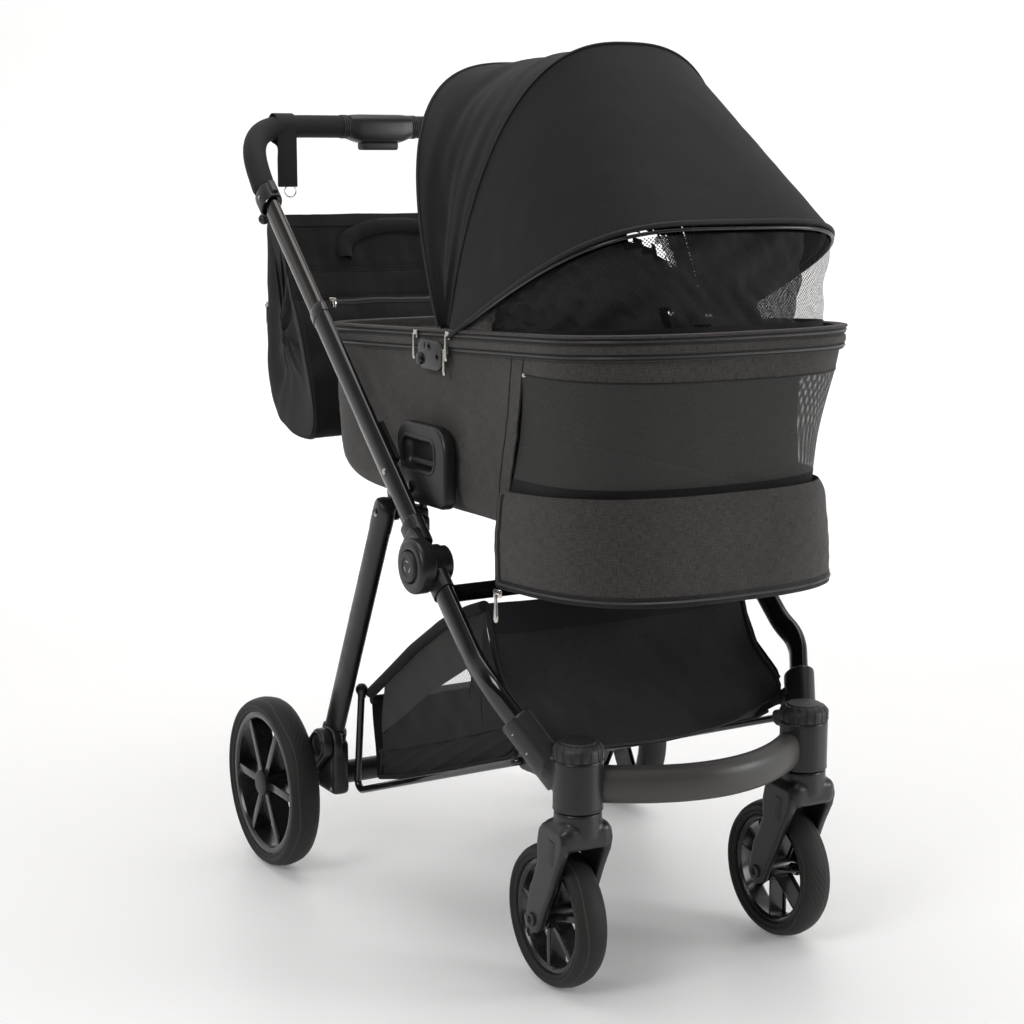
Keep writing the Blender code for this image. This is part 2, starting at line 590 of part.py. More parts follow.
def hood():
    columns = 21
    bows = (("front_bow", BOW_FRONT, R_FRONT - 0.008, 0.1965, 4.2, 0.062),
            ("middle_bow", BOW_MID, R_MID - 0.008, 0.1890, 2.6, 0.050))
    for name, angle, reach, width, square, low in bows:
        path = arch(angle, reach, width, square, low, 25)
        finish(name, pipe(path, 0.0035, 1), STEEL, HINGE)

    edges = [arch(BOW_FRONT, R_FRONT, 0.203, 4.2, 0.062, columns),
             arch(BOW_MID - 0.6, R_MID, 0.196, 2.6, 0.062, columns),
             arch(BOW_MID + 0.6, R_MID, 0.196, 2.6, 0.062, columns),
             arch(BOW_REAR + 2, R_REAR, 0.203, 3.0, 0.062, columns)]
    for name, first, last in (("hood_front", edges[0], edges[1]), ("hood_rear", *edges[2:])):
        rows = []
        for i in range(5):
            rows.append([Vector(a).lerp(Vector(b), i / 4) for a, b in zip(first, last)])
        skin = loft(rows, caps=False, ring_closed=False)
        finish(name, shell(skin, 0.003, 1), FABRIC, HINGE)

    lean = math.radians(90 - BOW_REAR - 5)
    back = arch(90.0, R_REAR - 0.014, 0.1880, 3.0, 0.040, 21, Vector((0, 0, 0)))
    rows = [[(x * k, y, 0.040 + (z - 0.040) * k) for x, y, z in back] for k in (1.0, 0.5)]
    centre = (0.0, 0.0, 0.040)
    count = len(back)
    verts = rows[0] + rows[1] + [centre]
    faces = [(i, i + 1, count + i + 1, count + i) for i in range(count - 1)]
    faces += [(count + i, count + i + 1, 2 * count) for i in range(count - 1)]
    skin = bpy.data.meshes.new("hood_back")
    skin.from_pydata(verts, [], faces)
    curtain = shell(weld(skin), 0.003, 0)
    curtain.transform(Matrix.Translation(HINGE) @ Matrix.Rotation(lean, 4, "X"))
    finish("hood_back", curtain, FABRIC, HINGE)

    top = arch(BOW_FRONT - 3.5, R_FRONT - 0.004, 0.196, 4.2, 0.120, columns)
    bottom = []
    for i in range(columns):
        turn = math.pi * i / (columns - 1)
        x = -0.196 * math.copysign(abs(math.cos(turn)) ** (2 / SQUARE), math.cos(turn))
        y = 0.105 - (0.105 + 0.140) * math.sin(turn) ** (2 / SQUARE)
        bottom.append((x, y, RIM_Z + 0.0245 + RIM_SLOPE * (y - RIM_Y)))
    middle = [tuple((a + b) / 2 for a, b in zip(p, q)) for p, q in zip(top, bottom)]
    visor = loft([bottom, middle, top], caps=False, ring_closed=False)
    finish("mesh_visor", shell(visor, 0.0015, 1), MESH, HINGE)


# ---------------------------------------------------------------- handle and bag
def handle():
    inner_a, inner_b = TUBE_A - 0.0020, TUBE_B - 0.0017
    inner = pipe([along_tube(INNER_S), along_tube(CLAMP_S - 0.014)], inner_a, 2,
                 inner_b / inner_a, TUBE_X)
    along = Vector((0, math.cos(SLOPE), math.sin(SLOPE)))
    slide_origin = tuple(along_tube(CLAMP_S))

    collar = pipe([along_tube(CLAMP_S - 0.0136), along_tube(CLAMP_S + 0.0140)], 0.0215, 3,
                  0.0150 / 0.0215, TUBE_X)
    ball = rod(0.0070, along_tube(CLAMP_S, -0.0140), along_tube(CLAMP_S - 0.006, -0.034), 12)

    grip_start = along_tube(CLAMP_S + 0.0146)
    corner = Vector((TUBE_X, 0.742, 0.998))
    shoulder = Vector((0.192, HANDLE_Y, HANDLE_Z))
    middle = Vector((0.0, HANDLE_Y, HANDLE_Z))
    half_path = [grip_start, corner, shoulder, middle]
    path = rounded(half_path, 0.050, 5)[:-1]
    whole = path + [Vector((-p.x, p.y, p.z)) for p in reversed(path)]
    foot = along_tube(CLAMP_S - 0.020)
    whole = [foot] + whole + [Vector((-foot.x, foot.y, foot.z))]
    bar = join(pipe(whole, 0.0110, 1), inner, mirrored(inner, -1))
    finish("handle_tube", bar, CHROME_BLACK, (0, HANDLE_Y, HANDLE_Z))
    bar_room = pipe(whole, 0.0114, 1)
    pair("tube_clamp", cut(join(collar, ball), bar_room), PLASTIC, slide_origin)

    grip_path = [p.copy() for p in path]
    grip_path[0] = grip_start + along * 0.0030
    grip_path.append(Vector((0.0530, HANDLE_Y, HANDLE_Z)))
    grip = cut(pipe(grip_path, 0.0168, 3), bar_room)
    pair("grip", grip, GRIP, slide_origin)

    body = block((-0.0520, HANDLE_Y - 0.0205, HANDLE_Z - 0.0240),
                 (0.0520, HANDLE_Y + 0.0200, HANDLE_Z + 0.0190), 0.010, 3)
    well = block((-0.0330, HANDLE_Y - 0.0140, HANDLE_Z - 0.040),
                 (0.0330, HANDLE_Y + 0.0120, HANDLE_Z - 0.0150))
    tunnel = rod(0.0117, (-0.1, HANDLE_Y, HANDLE_Z), (0.1, HANDLE_Y, HANDLE_Z), 16)
    finish("fold_housing", cut(body, well, tunnel), PLASTIC, (0, HANDLE_Y, HANDLE_Z))
    trigger = block((-0.0320, HANDLE_Y - 0.0130, HANDLE_Z - 0.0330),
                    (0.0320, HANDLE_Y + 0.0110, HANDLE_Z - 0.0205), 0.003, 2)
    finish("fold_trigger", trigger, PLASTIC, (0, HANDLE_Y, HANDLE_Z - 0.027))

    strap_x, strap_w = -0.145, 0.015
    loop = rod(0.0195, (strap_x - strap_w, HANDLE_Y, HANDLE_Z),
               (strap_x + strap_w, HANDLE_Y, HANDLE_Z), 20)
    tail = block((strap_x - strap_w, HANDLE_Y - 0.0195, HANDLE_Z - 0.100),
                 (strap_x + strap_w, HANDLE_Y - 0.0150, HANDLE_Z), 0.0)
    grip_room = rod(0.0176, (strap_x - 0.05, HANDLE_Y, HANDLE_Z),
                    (strap_x + 0.05, HANDLE_Y, HANDLE_Z), 24)
    finish("hang_strap", cut(join(loop, tail), grip_room), DARK_FABRIC, (0, HANDLE_Y, HANDLE_Z))


def bag():
    outline = [(0.752, 0.906), (0.705, 0.800), (0.668, 0.722), (0.634, 0.628), (0.642, 0.606),
               (0.700, 0.606), (0.778, 0.630), (0.792, 0.660), (0.796, 0.800), (0.786, 0.906)]
    body = evaluated(plate(outline, -0.186, 0.186), [("BEVEL", {"width": 0.007, "segments": 2})])
    strap = pipe([(0.206, 0.722, 0.934), (0.196, 0.738, 0.930), (0.170, 0.766, 0.8950)],
                 0.0030, 1)
    finish("bag", join(body, strap, mirrored(strap, -1)), DARK_FABRIC, (0, 0.769, 0.906))


front_frame()
front_casters()
rear_wheels()
push_frame()
rear_frame()
basket()
carrycot()
hood()
handle()
bag()
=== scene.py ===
"""Pet stroller: the fine surfaces, materials, floor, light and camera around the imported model.

Units are metres. Lengths along Y are measured from the front axle line, as in the part's own
source, and V() moves them into the frame. "right" is +X and "left" is -X; the stroller faces -Y.
"""
import math

import bmesh
import bpy
from mathutils import Matrix, Vector, noise


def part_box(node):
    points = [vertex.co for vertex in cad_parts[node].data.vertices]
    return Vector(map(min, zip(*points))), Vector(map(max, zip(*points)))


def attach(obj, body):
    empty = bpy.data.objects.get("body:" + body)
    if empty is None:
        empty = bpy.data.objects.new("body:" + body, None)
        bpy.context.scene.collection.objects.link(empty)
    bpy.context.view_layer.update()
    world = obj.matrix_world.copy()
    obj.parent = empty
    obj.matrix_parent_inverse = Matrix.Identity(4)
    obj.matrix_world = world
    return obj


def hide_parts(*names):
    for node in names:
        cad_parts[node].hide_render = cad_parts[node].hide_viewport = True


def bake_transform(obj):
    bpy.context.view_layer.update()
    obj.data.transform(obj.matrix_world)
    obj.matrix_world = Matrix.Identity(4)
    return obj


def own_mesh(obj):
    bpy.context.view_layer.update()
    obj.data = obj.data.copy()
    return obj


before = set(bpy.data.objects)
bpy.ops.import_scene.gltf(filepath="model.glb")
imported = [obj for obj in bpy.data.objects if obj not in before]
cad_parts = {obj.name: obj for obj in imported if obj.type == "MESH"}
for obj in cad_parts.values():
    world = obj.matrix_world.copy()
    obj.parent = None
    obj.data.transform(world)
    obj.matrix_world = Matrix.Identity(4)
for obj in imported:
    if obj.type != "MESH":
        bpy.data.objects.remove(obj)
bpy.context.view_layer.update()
SIDES = {"left": -1, "right": 1}
low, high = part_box("front_tyre_left")
AXLE_Y = (low.y + high.y) / 2              # the front axle line in the frame
FRONT_R = (high.z - low.z) / 2
TRACK_F = -(low.x + high.x) / 2
low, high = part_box("rear_tyre_left")
REAR_R = (high.z - low.z) / 2
REAR_Y = (low.y + high.y) / 2 - AXLE_Y
TRACK_R = -(low.x + high.x) / 2

TUBE_X, TUBE_A, TUBE_B = 0.230, 0.018, 0.010     # push tube plane, half depth and half width
SLOPE = math.radians(42.34)                      # push tube above the floor
HUB_Y, HUB_Z = 0.200, 0.492
SCOPE_S, CLAMP_S = 0.438, 0.655                  # along the push tube from the hub
POST_Y, POST_R, POST_Z0, POST_Z1 = -0.046, 0.030, 0.2355, 0.2965
COT_W, COT_FRONT, COT_BACK = 0.197, -0.148, 0.612
RIM_Z, RIM_SLOPE, RIM_Y = 0.762, -0.044, 0.20
HINGE_Y, HINGE_Z = 0.220, 0.765                  # hood hinge axis
BOW_FRONT, BOW_MID, BOW_REAR = 25.0, 74.0, 111.0
HANDLE_Y, HANDLE_Z = 0.800, 1.037
LEG_TOP, LEG_FOOT = (0.330, 0.540), (0.4920, 0.2095)
ARM_PIVOT, BAR = (0.486, 0.192), (0.500, 0.141)


def V(x, y, z):
    """Point in the frame from a place measured from the front axle line."""
    return Vector((x, y + AXLE_Y, z))


def along_tube(distance, across=0.0, x=TUBE_X):
    """Point on the push tube line, at a distance from the hub, and across it (upward)."""
    c, s = math.cos(SLOPE), math.sin(SLOPE)
    return V(x, HUB_Y + distance * c - across * s, HUB_Z + distance * s + across * c)


TUBE_UP = Vector((0, -math.sin(SLOPE), math.cos(SLOPE)))


# ------------------------------------------------------------------------------ mesh helpers
def ease(t):
    """Smooth step from 0 to 1, held outside that range."""
    t = min(1.0, max(0.0, t))
    return t * t * (3 - 2 * t)


def grid(rows, closed=False):
    """Quad skin over rows of points, with UVs in metres along the rows and across them."""
    count, width = len(rows), len(rows[0])
    middle, centre = rows[count // 2], width // 2
    along, across = [0.0], [0.0]
    for j in range(width):
        along.append(along[-1] + (middle[(j + 1) % width] - middle[j]).length)
    for i in range(count - 1):
        across.append(across[-1] + (rows[i + 1][centre] - rows[i][centre]).length)
    faces, uvs = [], []
    for i in range(count - 1):
        for j in range(width if closed else width - 1):
            k = (j + 1) % width
            faces.append((i * width + j, i * width + k, (i + 1) * width + k, (i + 1) * width + j))
            uvs += [(along[j], across[i]), (along[j + 1], across[i]),
                    (along[j + 1], across[i + 1]), (along[j], across[i + 1])]
    mesh = bpy.data.meshes.new("grid")
    mesh.from_pydata([p for row in rows for p in row], [], faces)
    layer = mesh.uv_layers.new(name="cloth")
    for loop, uv in zip(layer.data, uvs):
        loop.uv = uv
    return mesh


def frames(path, up, closed=False):
    """Tangent, side and up vectors along a path, turning as little as possible."""
    count = len(path)
    out = []
    for i in range(count):
        if closed:
            ahead, behind = path[(i + 1) % count], path[i - 1]
        else:
            ahead, behind = path[min(i + 1, count - 1)], path[max(i - 1, 0)]
        tangent = (ahead - behind).normalized()
        up = (up - tangent * up.dot(tangent)).normalized()
        out.append((tangent, tangent.cross(up), up))
    return out


def sweep(path, section, up=Vector((1, 0, 0)), closed=False, caps=True, size=None):
    """Skin of a closed (side, up) section carried along a path; size(t) scales it."""
    rows = []
    for i, (_, side, upward) in enumerate(frames(path, up, closed)):
        k = size(i / (len(path) - 1)) if size else 1.0
        rows.append([path[i] + side * (a * k) + upward * (b * k) for a, b in section])
    if closed:
        rows.append(rows[0])
    mesh = grid(rows, closed=True)
    form = bmesh.new()
    form.from_mesh(mesh)
    form.verts.ensure_lookup_table()
    if caps and not closed:
        width = len(section)
        form.faces.new([form.verts[i] for i in reversed(range(width))])
        form.faces.new([form.verts[len(form.verts) - width + i] for i in range(width)])
    bmesh.ops.remove_doubles(form, verts=form.verts, dist=1e-6)
    bmesh.ops.recalc_face_normals(form, faces=form.faces)
    form.to_mesh(mesh)
    form.free()
    return mesh


def ellipse(a, b, count=24, power=2.0):
    """Closed section: half width a (side), half height b (up); power above 2 squares it."""
    points = []
    for i in range(count):
        c, s = math.cos(2 * math.pi * i / count), math.sin(2 * math.pi * i / count)
        points.append((a * math.copysign(abs(c) ** (2 / power), c),
                       b * math.copysign(abs(s) ** (2 / power), s)))
    return points


def arc(cy, cz, radius, start, end, steps):
    """Points (y, z) on an arc, angles in degrees from +Y towards +Z."""
    angles = [math.radians(start + (end - start) * i / steps) for i in range(steps + 1)]
    return [(cy + radius * math.cos(a), cz + radius * math.sin(a)) for a in angles]


def rounded(points, radius, steps=10):
    """Path through corners, each replaced by an arc."""
    path = [points[0]]
    for before, corner, after in zip(points, points[1:], points[2:]):
        into, out = (before - corner).normalized(), (after - corner).normalized()
        half = into.angle(out) / 2
        reach = min(radius / math.tan(half), 0.49 * (before - corner).length,
                    0.49 * (after - corner).length)
        centre = corner + (into + out).normalized() * (reach / math.cos(half))
        start, end = corner + into * reach - centre, corner + out * reach - centre
        for i in range(steps + 1):
            turn = start.normalized().slerp(end.normalized(), i / steps)
            path.append(centre + turn * start.length)
    path.append(points[-1])
    return path


def refined(path, step):
    """The same path with points no further apart than step."""
    out = [path[0]]
    for a, b in zip(path, path[1:]):
        parts = max(1, math.ceil((b - a).length / step))
        out += [a.lerp(b, (k + 1) / parts) for k in range(parts)]
    return out


def smooth_path(points, step=0.01, closed=False):
    """Catmull-Rom curve through points."""
    count = len(points)
    out = []
    for i in range(count if closed else count - 1):
        p0 = points[i - 1] if closed or i else points[0] * 2 - points[1]
        p1, p2 = points[i], points[(i + 1) % count]
        p3 = points[(i + 2) % count] if closed or i + 2 < count else p2 * 2 - p1
        parts = max(2, math.ceil((p2 - p1).length / step))
        for k in range(parts):
            t = k / parts
            out.append(0.5 * (p1 * 2 + (p2 - p0) * t + (p0 * 2 - p1 * 5 + p2 * 4 - p3) * t * t
                              + (p1 * 3 - p0 - p2 * 3 + p3) * t ** 3))
    return out if closed else out + [points[-1]]


def lathe(profile, centre, axis="X", steps=64):
    """Closed or axis-to-axis (radius, height) profile turned about an axis."""
    rows = []
    for i in range(steps + 1):
        c, s = math.cos(2 * math.pi * i / steps), math.sin(2 * math.pi * i / steps)
        if axis == "X":
            rows.append([centre + Vector((h, r * c, r * s)) for r, h in profile])
        elif axis == "Z":
            rows.append([centre + Vector((r * c, r * s, h)) for r, h in profile])
        else:
            rows.append([centre + Vector((r * c, h, r * s)) for r, h in profile])
    mesh = grid(rows)
    return tidy(mesh)


def tidy(mesh, distance=1e-6):
    """The mesh itself, with coincident points merged, empty faces dissolved and normals made consistent."""
    form = bmesh.new()
    form.from_mesh(mesh)
    bmesh.ops.remove_doubles(form, verts=form.verts, dist=distance)
    bmesh.ops.dissolve_degenerate(form, edges=form.edges, dist=distance)
    bmesh.ops.recalc_face_normals(form, faces=form.faces)
    form.to_mesh(mesh)
    form.free()
    return mesh


def merged(*meshes):
    """One mesh of several."""
    form = bmesh.new()
    for mesh in meshes:
        form.from_mesh(mesh)
    out = bpy.data.meshes.new("merged")
    form.to_mesh(out)
    form.free()
    return out


def evaluated(mesh, *modifiers):
    """Mesh after the given (type, settings) modifiers."""
    temp = bpy.data.objects.new("temp", mesh)
    bpy.context.scene.collection.objects.link(temp)
    for kind, settings in modifiers:
        mod = temp.modifiers.new(kind, kind)
        for key, value in settings.items():
            setattr(mod, key, value)
    graph = bpy.context.evaluated_depsgraph_get()
    out = bpy.data.meshes.new_from_object(temp.evaluated_get(graph))
    bpy.data.objects.remove(temp, do_unlink=True)
    return out


def fused(meshes, voxel=0.0018, rounds=8):
    """Closed shapes melted into one moulding with soft inner corners."""
    return evaluated(merged(*meshes), ("REMESH", {"mode": "VOXEL", "voxel_size": voxel}),
                     ("SMOOTH", {"factor": 0.5, "iterations": rounds}))


def bevelled(mesh, width, segments=3, angle=30):
    """Mesh with the edges sharper than angle rounded."""
    return evaluated(mesh, ("BEVEL", {"width": width, "segments": segments,
                                      "limit_method": "ANGLE", "angle_limit": math.radians(angle)}))


def cut(mesh, *tools):
    """Mesh with closed shapes cut out of it."""
    for tool in tools:
        cutter = bpy.data.objects.new("cutter", tool)
        bpy.context.scene.collection.objects.link(cutter)
        mesh = evaluated(mesh, ("BOOLEAN", {"operation": "DIFFERENCE", "object": cutter}))
        bpy.data.objects.remove(cutter, do_unlink=True)
    return mesh


def box(low, high, bevel=0.0, segments=3):
    """Box between two corners, with rounded edges where bevel is given."""
    low, high = Vector(low), Vector(high)
    form = bmesh.new()
    bmesh.ops.create_cube(form, size=1.0)
    place = Matrix.Translation((low + high) / 2) @ Matrix.Diagonal((*(high - low), 1.0))
    bmesh.ops.transform(form, matrix=place, verts=form.verts)
    mesh = bpy.data.meshes.new("box")
    form.to_mesh(mesh)
    form.free()
    return bevelled(mesh, bevel, segments) if bevel else mesh


def slab(outline, x0, x1, bevel=0.0, segments=3):
    """Plate with a (y, z) outline between two X planes, its edges rounded."""
    count = len(outline)
    verts = [V(x, y, z) for x in (x0, x1) for y, z in outline]
    faces = [tuple(range(count)), tuple(reversed(range(count, 2 * count)))]
    faces += [(i, (i + 1) % count, count + (i + 1) % count, count + i) for i in range(count)]
    mesh = bpy.data.meshes.new("slab")
    mesh.from_pydata(verts, [], faces)
    tidy(mesh)
    return bevelled(mesh, bevel, segments) if bevel else mesh


def rod(radius, start, end, sides=32, bevel=0.0):
    """Round bar with softened ends."""
    axis = (end - start)
    length = axis.length
    form = bmesh.new()
    bmesh.ops.create_cone(form, cap_ends=True, segments=sides, radius1=radius, radius2=radius,
                          depth=length)
    aim = axis.to_track_quat("Z", "Y").to_matrix().to_4x4()
    bmesh.ops.transform(form, matrix=Matrix.Translation((start + end) / 2) @ aim, verts=form.verts)
    mesh = bpy.data.meshes.new("rod")
    form.to_mesh(mesh)
    form.free()
    return bevelled(mesh, bevel, 2, 50) if bevel else mesh


def flipped(mesh, side):
    """The mesh itself on the right, its mirror image on the left."""
    copy = mesh.copy()
    if side < 0:
        copy.transform(Matrix.Diagonal((-1, 1, 1, 1)))
        copy.flip_normals()
    return copy


def piece(name, mesh, mat, body, replaces=(), sharp=40):
    """One visible piece: mesh, material, the body it rides on and the nodes it stands for."""
    mesh.materials.clear()
    mesh.materials.append(mat)
    mesh.shade_smooth()
    mesh.set_sharp_from_angle(angle=math.radians(sharp))
    label = name + "_skin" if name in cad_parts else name
    mesh.name = label
    obj = bpy.data.objects.new(label, mesh)
    bpy.context.scene.collection.objects.link(obj)
    if body:
        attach(obj, body)
    if replaces:
        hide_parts(*replaces)
    return obj


def pair(name, mesh, mat, body, replaces=(), sharp=40):
    """Left and right pieces from a right-hand mesh; {} in a name is the side."""
    for word, side in SIDES.items():
        piece(f"{name}_{word}", flipped(mesh, side), mat, body.format(word),
              [node.format(word) for node in replaces], sharp)


# ------------------------------------------------------------------------------ materials
def add(tree, kind, inputs=None, **settings):
    """New shader node; an input given as a socket is linked, anything else is its value."""
    node = tree.nodes.new("ShaderNode" + kind)
    for key, value in settings.items():
        setattr(node, key, value)
    for key, value in (inputs or {}).items():
        if isinstance(value, bpy.types.NodeSocket):
            tree.links.new(value, node.inputs[key])
        else:
            node.inputs[key].default_value = value
    return node


def base(name, colour, roughness, metallic=0.0, **sockets):
    """New material with its shader set: returns the material, its node tree and the shader."""
    mat = bpy.data.materials.new(name)
    mat.use_nodes = True
    shader = mat.node_tree.nodes["Principled BSDF"]
    shader.inputs["Base Color"].default_value = (*colour, 1.0)
    shader.inputs["Roughness"].default_value = roughness
    shader.inputs["Metallic"].default_value = metallic
    for key, value in sockets.items():
        shader.inputs[key.replace("_", " ")].default_value = value
    return mat, mat.node_tree, shader


def wave(tree, vector, period, direction):
    """Sine bands of the given period in metres."""
    return add(tree, "TexWave", {"Vector": vector, "Scale": math.pi / 10 / period},
               bands_direction=direction).outputs["Fac"]


def ramp(tree, fac, low, high, out_low, out_high):
    """A value mapped from low..high to out_low..out_high."""
    return add(tree, "MapRange", {"Value": fac, "From Min": low, "From Max": high,
                                  "To Min": out_low, "To Max": out_high}).outputs["Result"]


def tinted(tree, shader, colour, amount):
    """Multiply a colour by a grey value that varies over the surface."""
    shade = add(tree, "VectorMath", {0: colour, "Scale": amount}, operation="SCALE")
    tree.links.new(shade.outputs["Vector"], shader.inputs["Base Color"])


def relief(tree, shader, height, distance, strength=1.0):
    """Bump on a shader from a height value."""
    bump = add(tree, "Bump", {"Height": height, "Distance": distance, "Strength": strength})
    tree.links.new(bump.outputs["Normal"], shader.inputs["Normal"])


def product(tree, a, b, operation="MULTIPLY"):
    """Maths on one or two values: their product unless another operation is named."""
    return add(tree, "Math", {0: a, 1: b}, operation=operation).outputs[0]


def woven(name, colour, thread, contrast, depth, sheen=0.25, use_uv=True):
    """Plain weave: crossing threads over and under, with lighter and darker fibres."""
    mat, tree, shader = base(name, colour, 0.86, Sheen_Weight=sheen, Sheen_Roughness=0.45,
                             Specular_IOR_Level=0.25)
    where = add(tree, "TexCoord")
    cloth = where.outputs["UV" if use_uv else "Object"]
    over = add(tree, "TexChecker", {"Vector": cloth, "Scale": 1 / thread}).outputs["Fac"]
    threads = add(tree, "Mix", {0: over, 2: wave(tree, cloth, thread, "X"),
                                3: wave(tree, cloth, thread, "Y")}).outputs[0]
    fibres = []
    for stretch in ((1.0, 0.10, 1.0), (0.10, 1.0, 1.0)):
        drawn = add(tree, "Mapping", {"Vector": cloth, "Scale": stretch}).outputs[0]
        fibres.append(add(tree, "TexNoise", {"Vector": drawn, "Scale": 0.9 / thread,
                                             "Detail": 2.0}).outputs["Fac"])
    melange = add(tree, "Mix", {0: over, 2: fibres[0], 3: fibres[1]}).outputs[0]
    broad = add(tree, "TexNoise", {"Vector": where.outputs["Object"], "Scale": 7.0,
                                   "Detail": 3.0}).outputs["Fac"]
    shade = product(tree, ramp(tree, melange, 0.3, 0.7, 1 - contrast, 1 + contrast),
                    ramp(tree, broad, 0.3, 0.7, 0.90, 1.10))
    shade = product(tree, shade, ramp(tree, threads, 0.0, 1.0, 0.80, 1.12))
    tinted(tree, shader, colour, shade)
    relief(tree, shader, product(tree, threads, product(tree, melange, 0.5), "ADD"), depth, 0.6)
    return mat


def net(name, colour, pitch, hole):
    """Open net: round holes on a diagonal lattice."""
    mat, tree, shader = base(name, colour, 0.75, Specular_IOR_Level=0.3)
    cloth = add(tree, "TexCoord").outputs["UV"]
    turned = add(tree, "Mapping", {"Vector": cloth, "Rotation": (0, 0, math.pi / 4)}).outputs[0]
    cell = add(tree, "TexVoronoi", {"Vector": turned, "Scale": 1 / pitch, "Randomness": 0.0},
               voronoi_dimensions="2D").outputs["Distance"]
    alpha = ramp(tree, cell, hole - 0.05, hole + 0.05, 0.0, 1.0)
    tree.links.new(alpha, shader.inputs["Alpha"])
    relief(tree, shader, cell, 0.0003, 0.5)
    return mat


def moulded(name, colour, roughness, grain=0.00006, **sockets):
    """Moulded plastic with a fine spark-eroded grain."""
    mat, tree, shader = base(name, colour, roughness, **sockets)
    place = add(tree, "TexCoord").outputs["Object"]
    fine = add(tree, "TexNoise", {"Vector": place, "Scale": 1500.0, "Detail": 2.0}).outputs["Fac"]
    broad = add(tree, "TexNoise", {"Vector": place, "Scale": 18.0, "Detail": 4.0}).outputs["Fac"]
    tree.links.new(ramp(tree, broad, 0.25, 0.75, roughness - 0.05, roughness + 0.06),
                   shader.inputs["Roughness"])
    tinted(tree, shader, colour, ramp(tree, broad, 0.3, 0.7, 0.92, 1.10))
    relief(tree, shader, fine, grain, 0.5)
    return mat


def lacquered(name, colour, roughness, metallic=0.0):
    """Gloss paint or plating with a faint orange peel and fine handling marks."""
    mat, tree, shader = base(name, colour, roughness, metallic, Coat_Weight=0.12,
                             Coat_Roughness=0.05)
    place = add(tree, "TexCoord").outputs["Object"]
    peel = add(tree, "TexNoise", {"Vector": place, "Scale": 160.0, "Detail": 1.0}).outputs["Fac"]
    marks = add(tree, "TexNoise", {"Vector": place, "Scale": 35.0, "Detail": 6.0}).outputs["Fac"]
    tree.links.new(ramp(tree, marks, 0.35, 0.75, roughness * 0.8, roughness * 1.5),
                   shader.inputs["Roughness"])
    tinted(tree, shader, colour, ramp(tree, marks, 0.3, 0.7, 0.95, 1.05))
    relief(tree, shader, peel, 0.00004, 0.3)
    return mat


def ribbed(name, colour, roughness, period, direction, depth, shine=0.3):
    """Straight ribs along one direction of the cloth: zip tape, webbing and grip wrap."""
    mat, tree, shader = base(name, colour, roughness, Specular_IOR_Level=shine)
    cloth = add(tree, "TexCoord").outputs["UV"]
    ribs = wave(tree, cloth, period, direction)
    fibre = add(tree, "TexNoise", {"Vector": cloth, "Scale": 1400.0, "Detail": 2.0}).outputs["Fac"]
    tinted(tree, shader, colour, product(tree, ramp(tree, ribs, 0, 1, 0.6, 1.15),
                                         ramp(tree, fibre, 0.3, 0.7, 0.8, 1.25)))
    relief(tree, shader, product(tree, ribs, product(tree, fibre, 0.4), "ADD"), depth, 0.7)
    return mat


def tyre_rubber(name, colour, girth):
    """Rubber with a wavy lighter line on the shoulder and small hatched patches."""
    mat, tree, shader = base(name, colour, 0.62, Specular_IOR_Level=0.35)
    where = add(tree, "TexCoord")
    split = add(tree, "SeparateXYZ", {0: where.outputs["UV"]})
    section, around = split.outputs["X"], split.outputs["Y"]
    waves = 9
    swing = product(tree, around, 2 * math.pi * waves)
    sway = product(tree, product(tree, swing, 0.0, "SINE"), 0.0016)
    path = product(tree, section, sway, "ADD")
    lines = []
    for centre in (0.30, 0.70):
        off = product(tree, product(tree, path, girth * centre, "SUBTRACT"), 0.0, "ABSOLUTE")
        lines.append(ramp(tree, off, 0.0005, 0.0014, 1.0, 0.0))
    line = product(tree, *lines, "MAXIMUM")
    hatch = product(tree, product(tree, section, 900.0), product(tree, around, 900.0 * 0.6), "ADD")
    hatch = ramp(tree, product(tree, hatch, 0.0, "SINE"), -0.2, 0.2, 0.0, 1.0)
    window = product(tree, product(tree, swing, 0.5), 0.0, "SINE")
    window = ramp(tree, window, 0.75, 0.80, 0.0, 1.0)
    grain = add(tree, "TexNoise", {"Vector": where.outputs["Object"], "Scale": 900.0,
                                   "Detail": 3.0}).outputs["Fac"]
    dust = add(tree, "TexNoise", {"Vector": where.outputs["Object"], "Scale": 12.0,
                                  "Detail": 4.0}).outputs["Fac"]
    worn = tuple(3.2 * c * t for c, t in zip(colour, (1.1, 0.95, 0.8)))
    tone = add(tree, "Mix", {0: product(tree, line, 0.75), 6: (*colour, 1), 7: (*worn, 1)},
               data_type="RGBA").outputs[2]
    shade = add(tree, "VectorMath", {0: tone, "Scale": ramp(tree, dust, 0.3, 0.7, 0.85, 1.25)},
                operation="SCALE")
    tree.links.new(shade.outputs["Vector"], shader.inputs["Base Color"])
    height = product(tree, product(tree, product(tree, hatch, window), 2.0),
                     product(tree, grain, line, "SUBTRACT"), "ADD")
    relief(tree, shader, height, 0.0003, 0.5)
    return mat


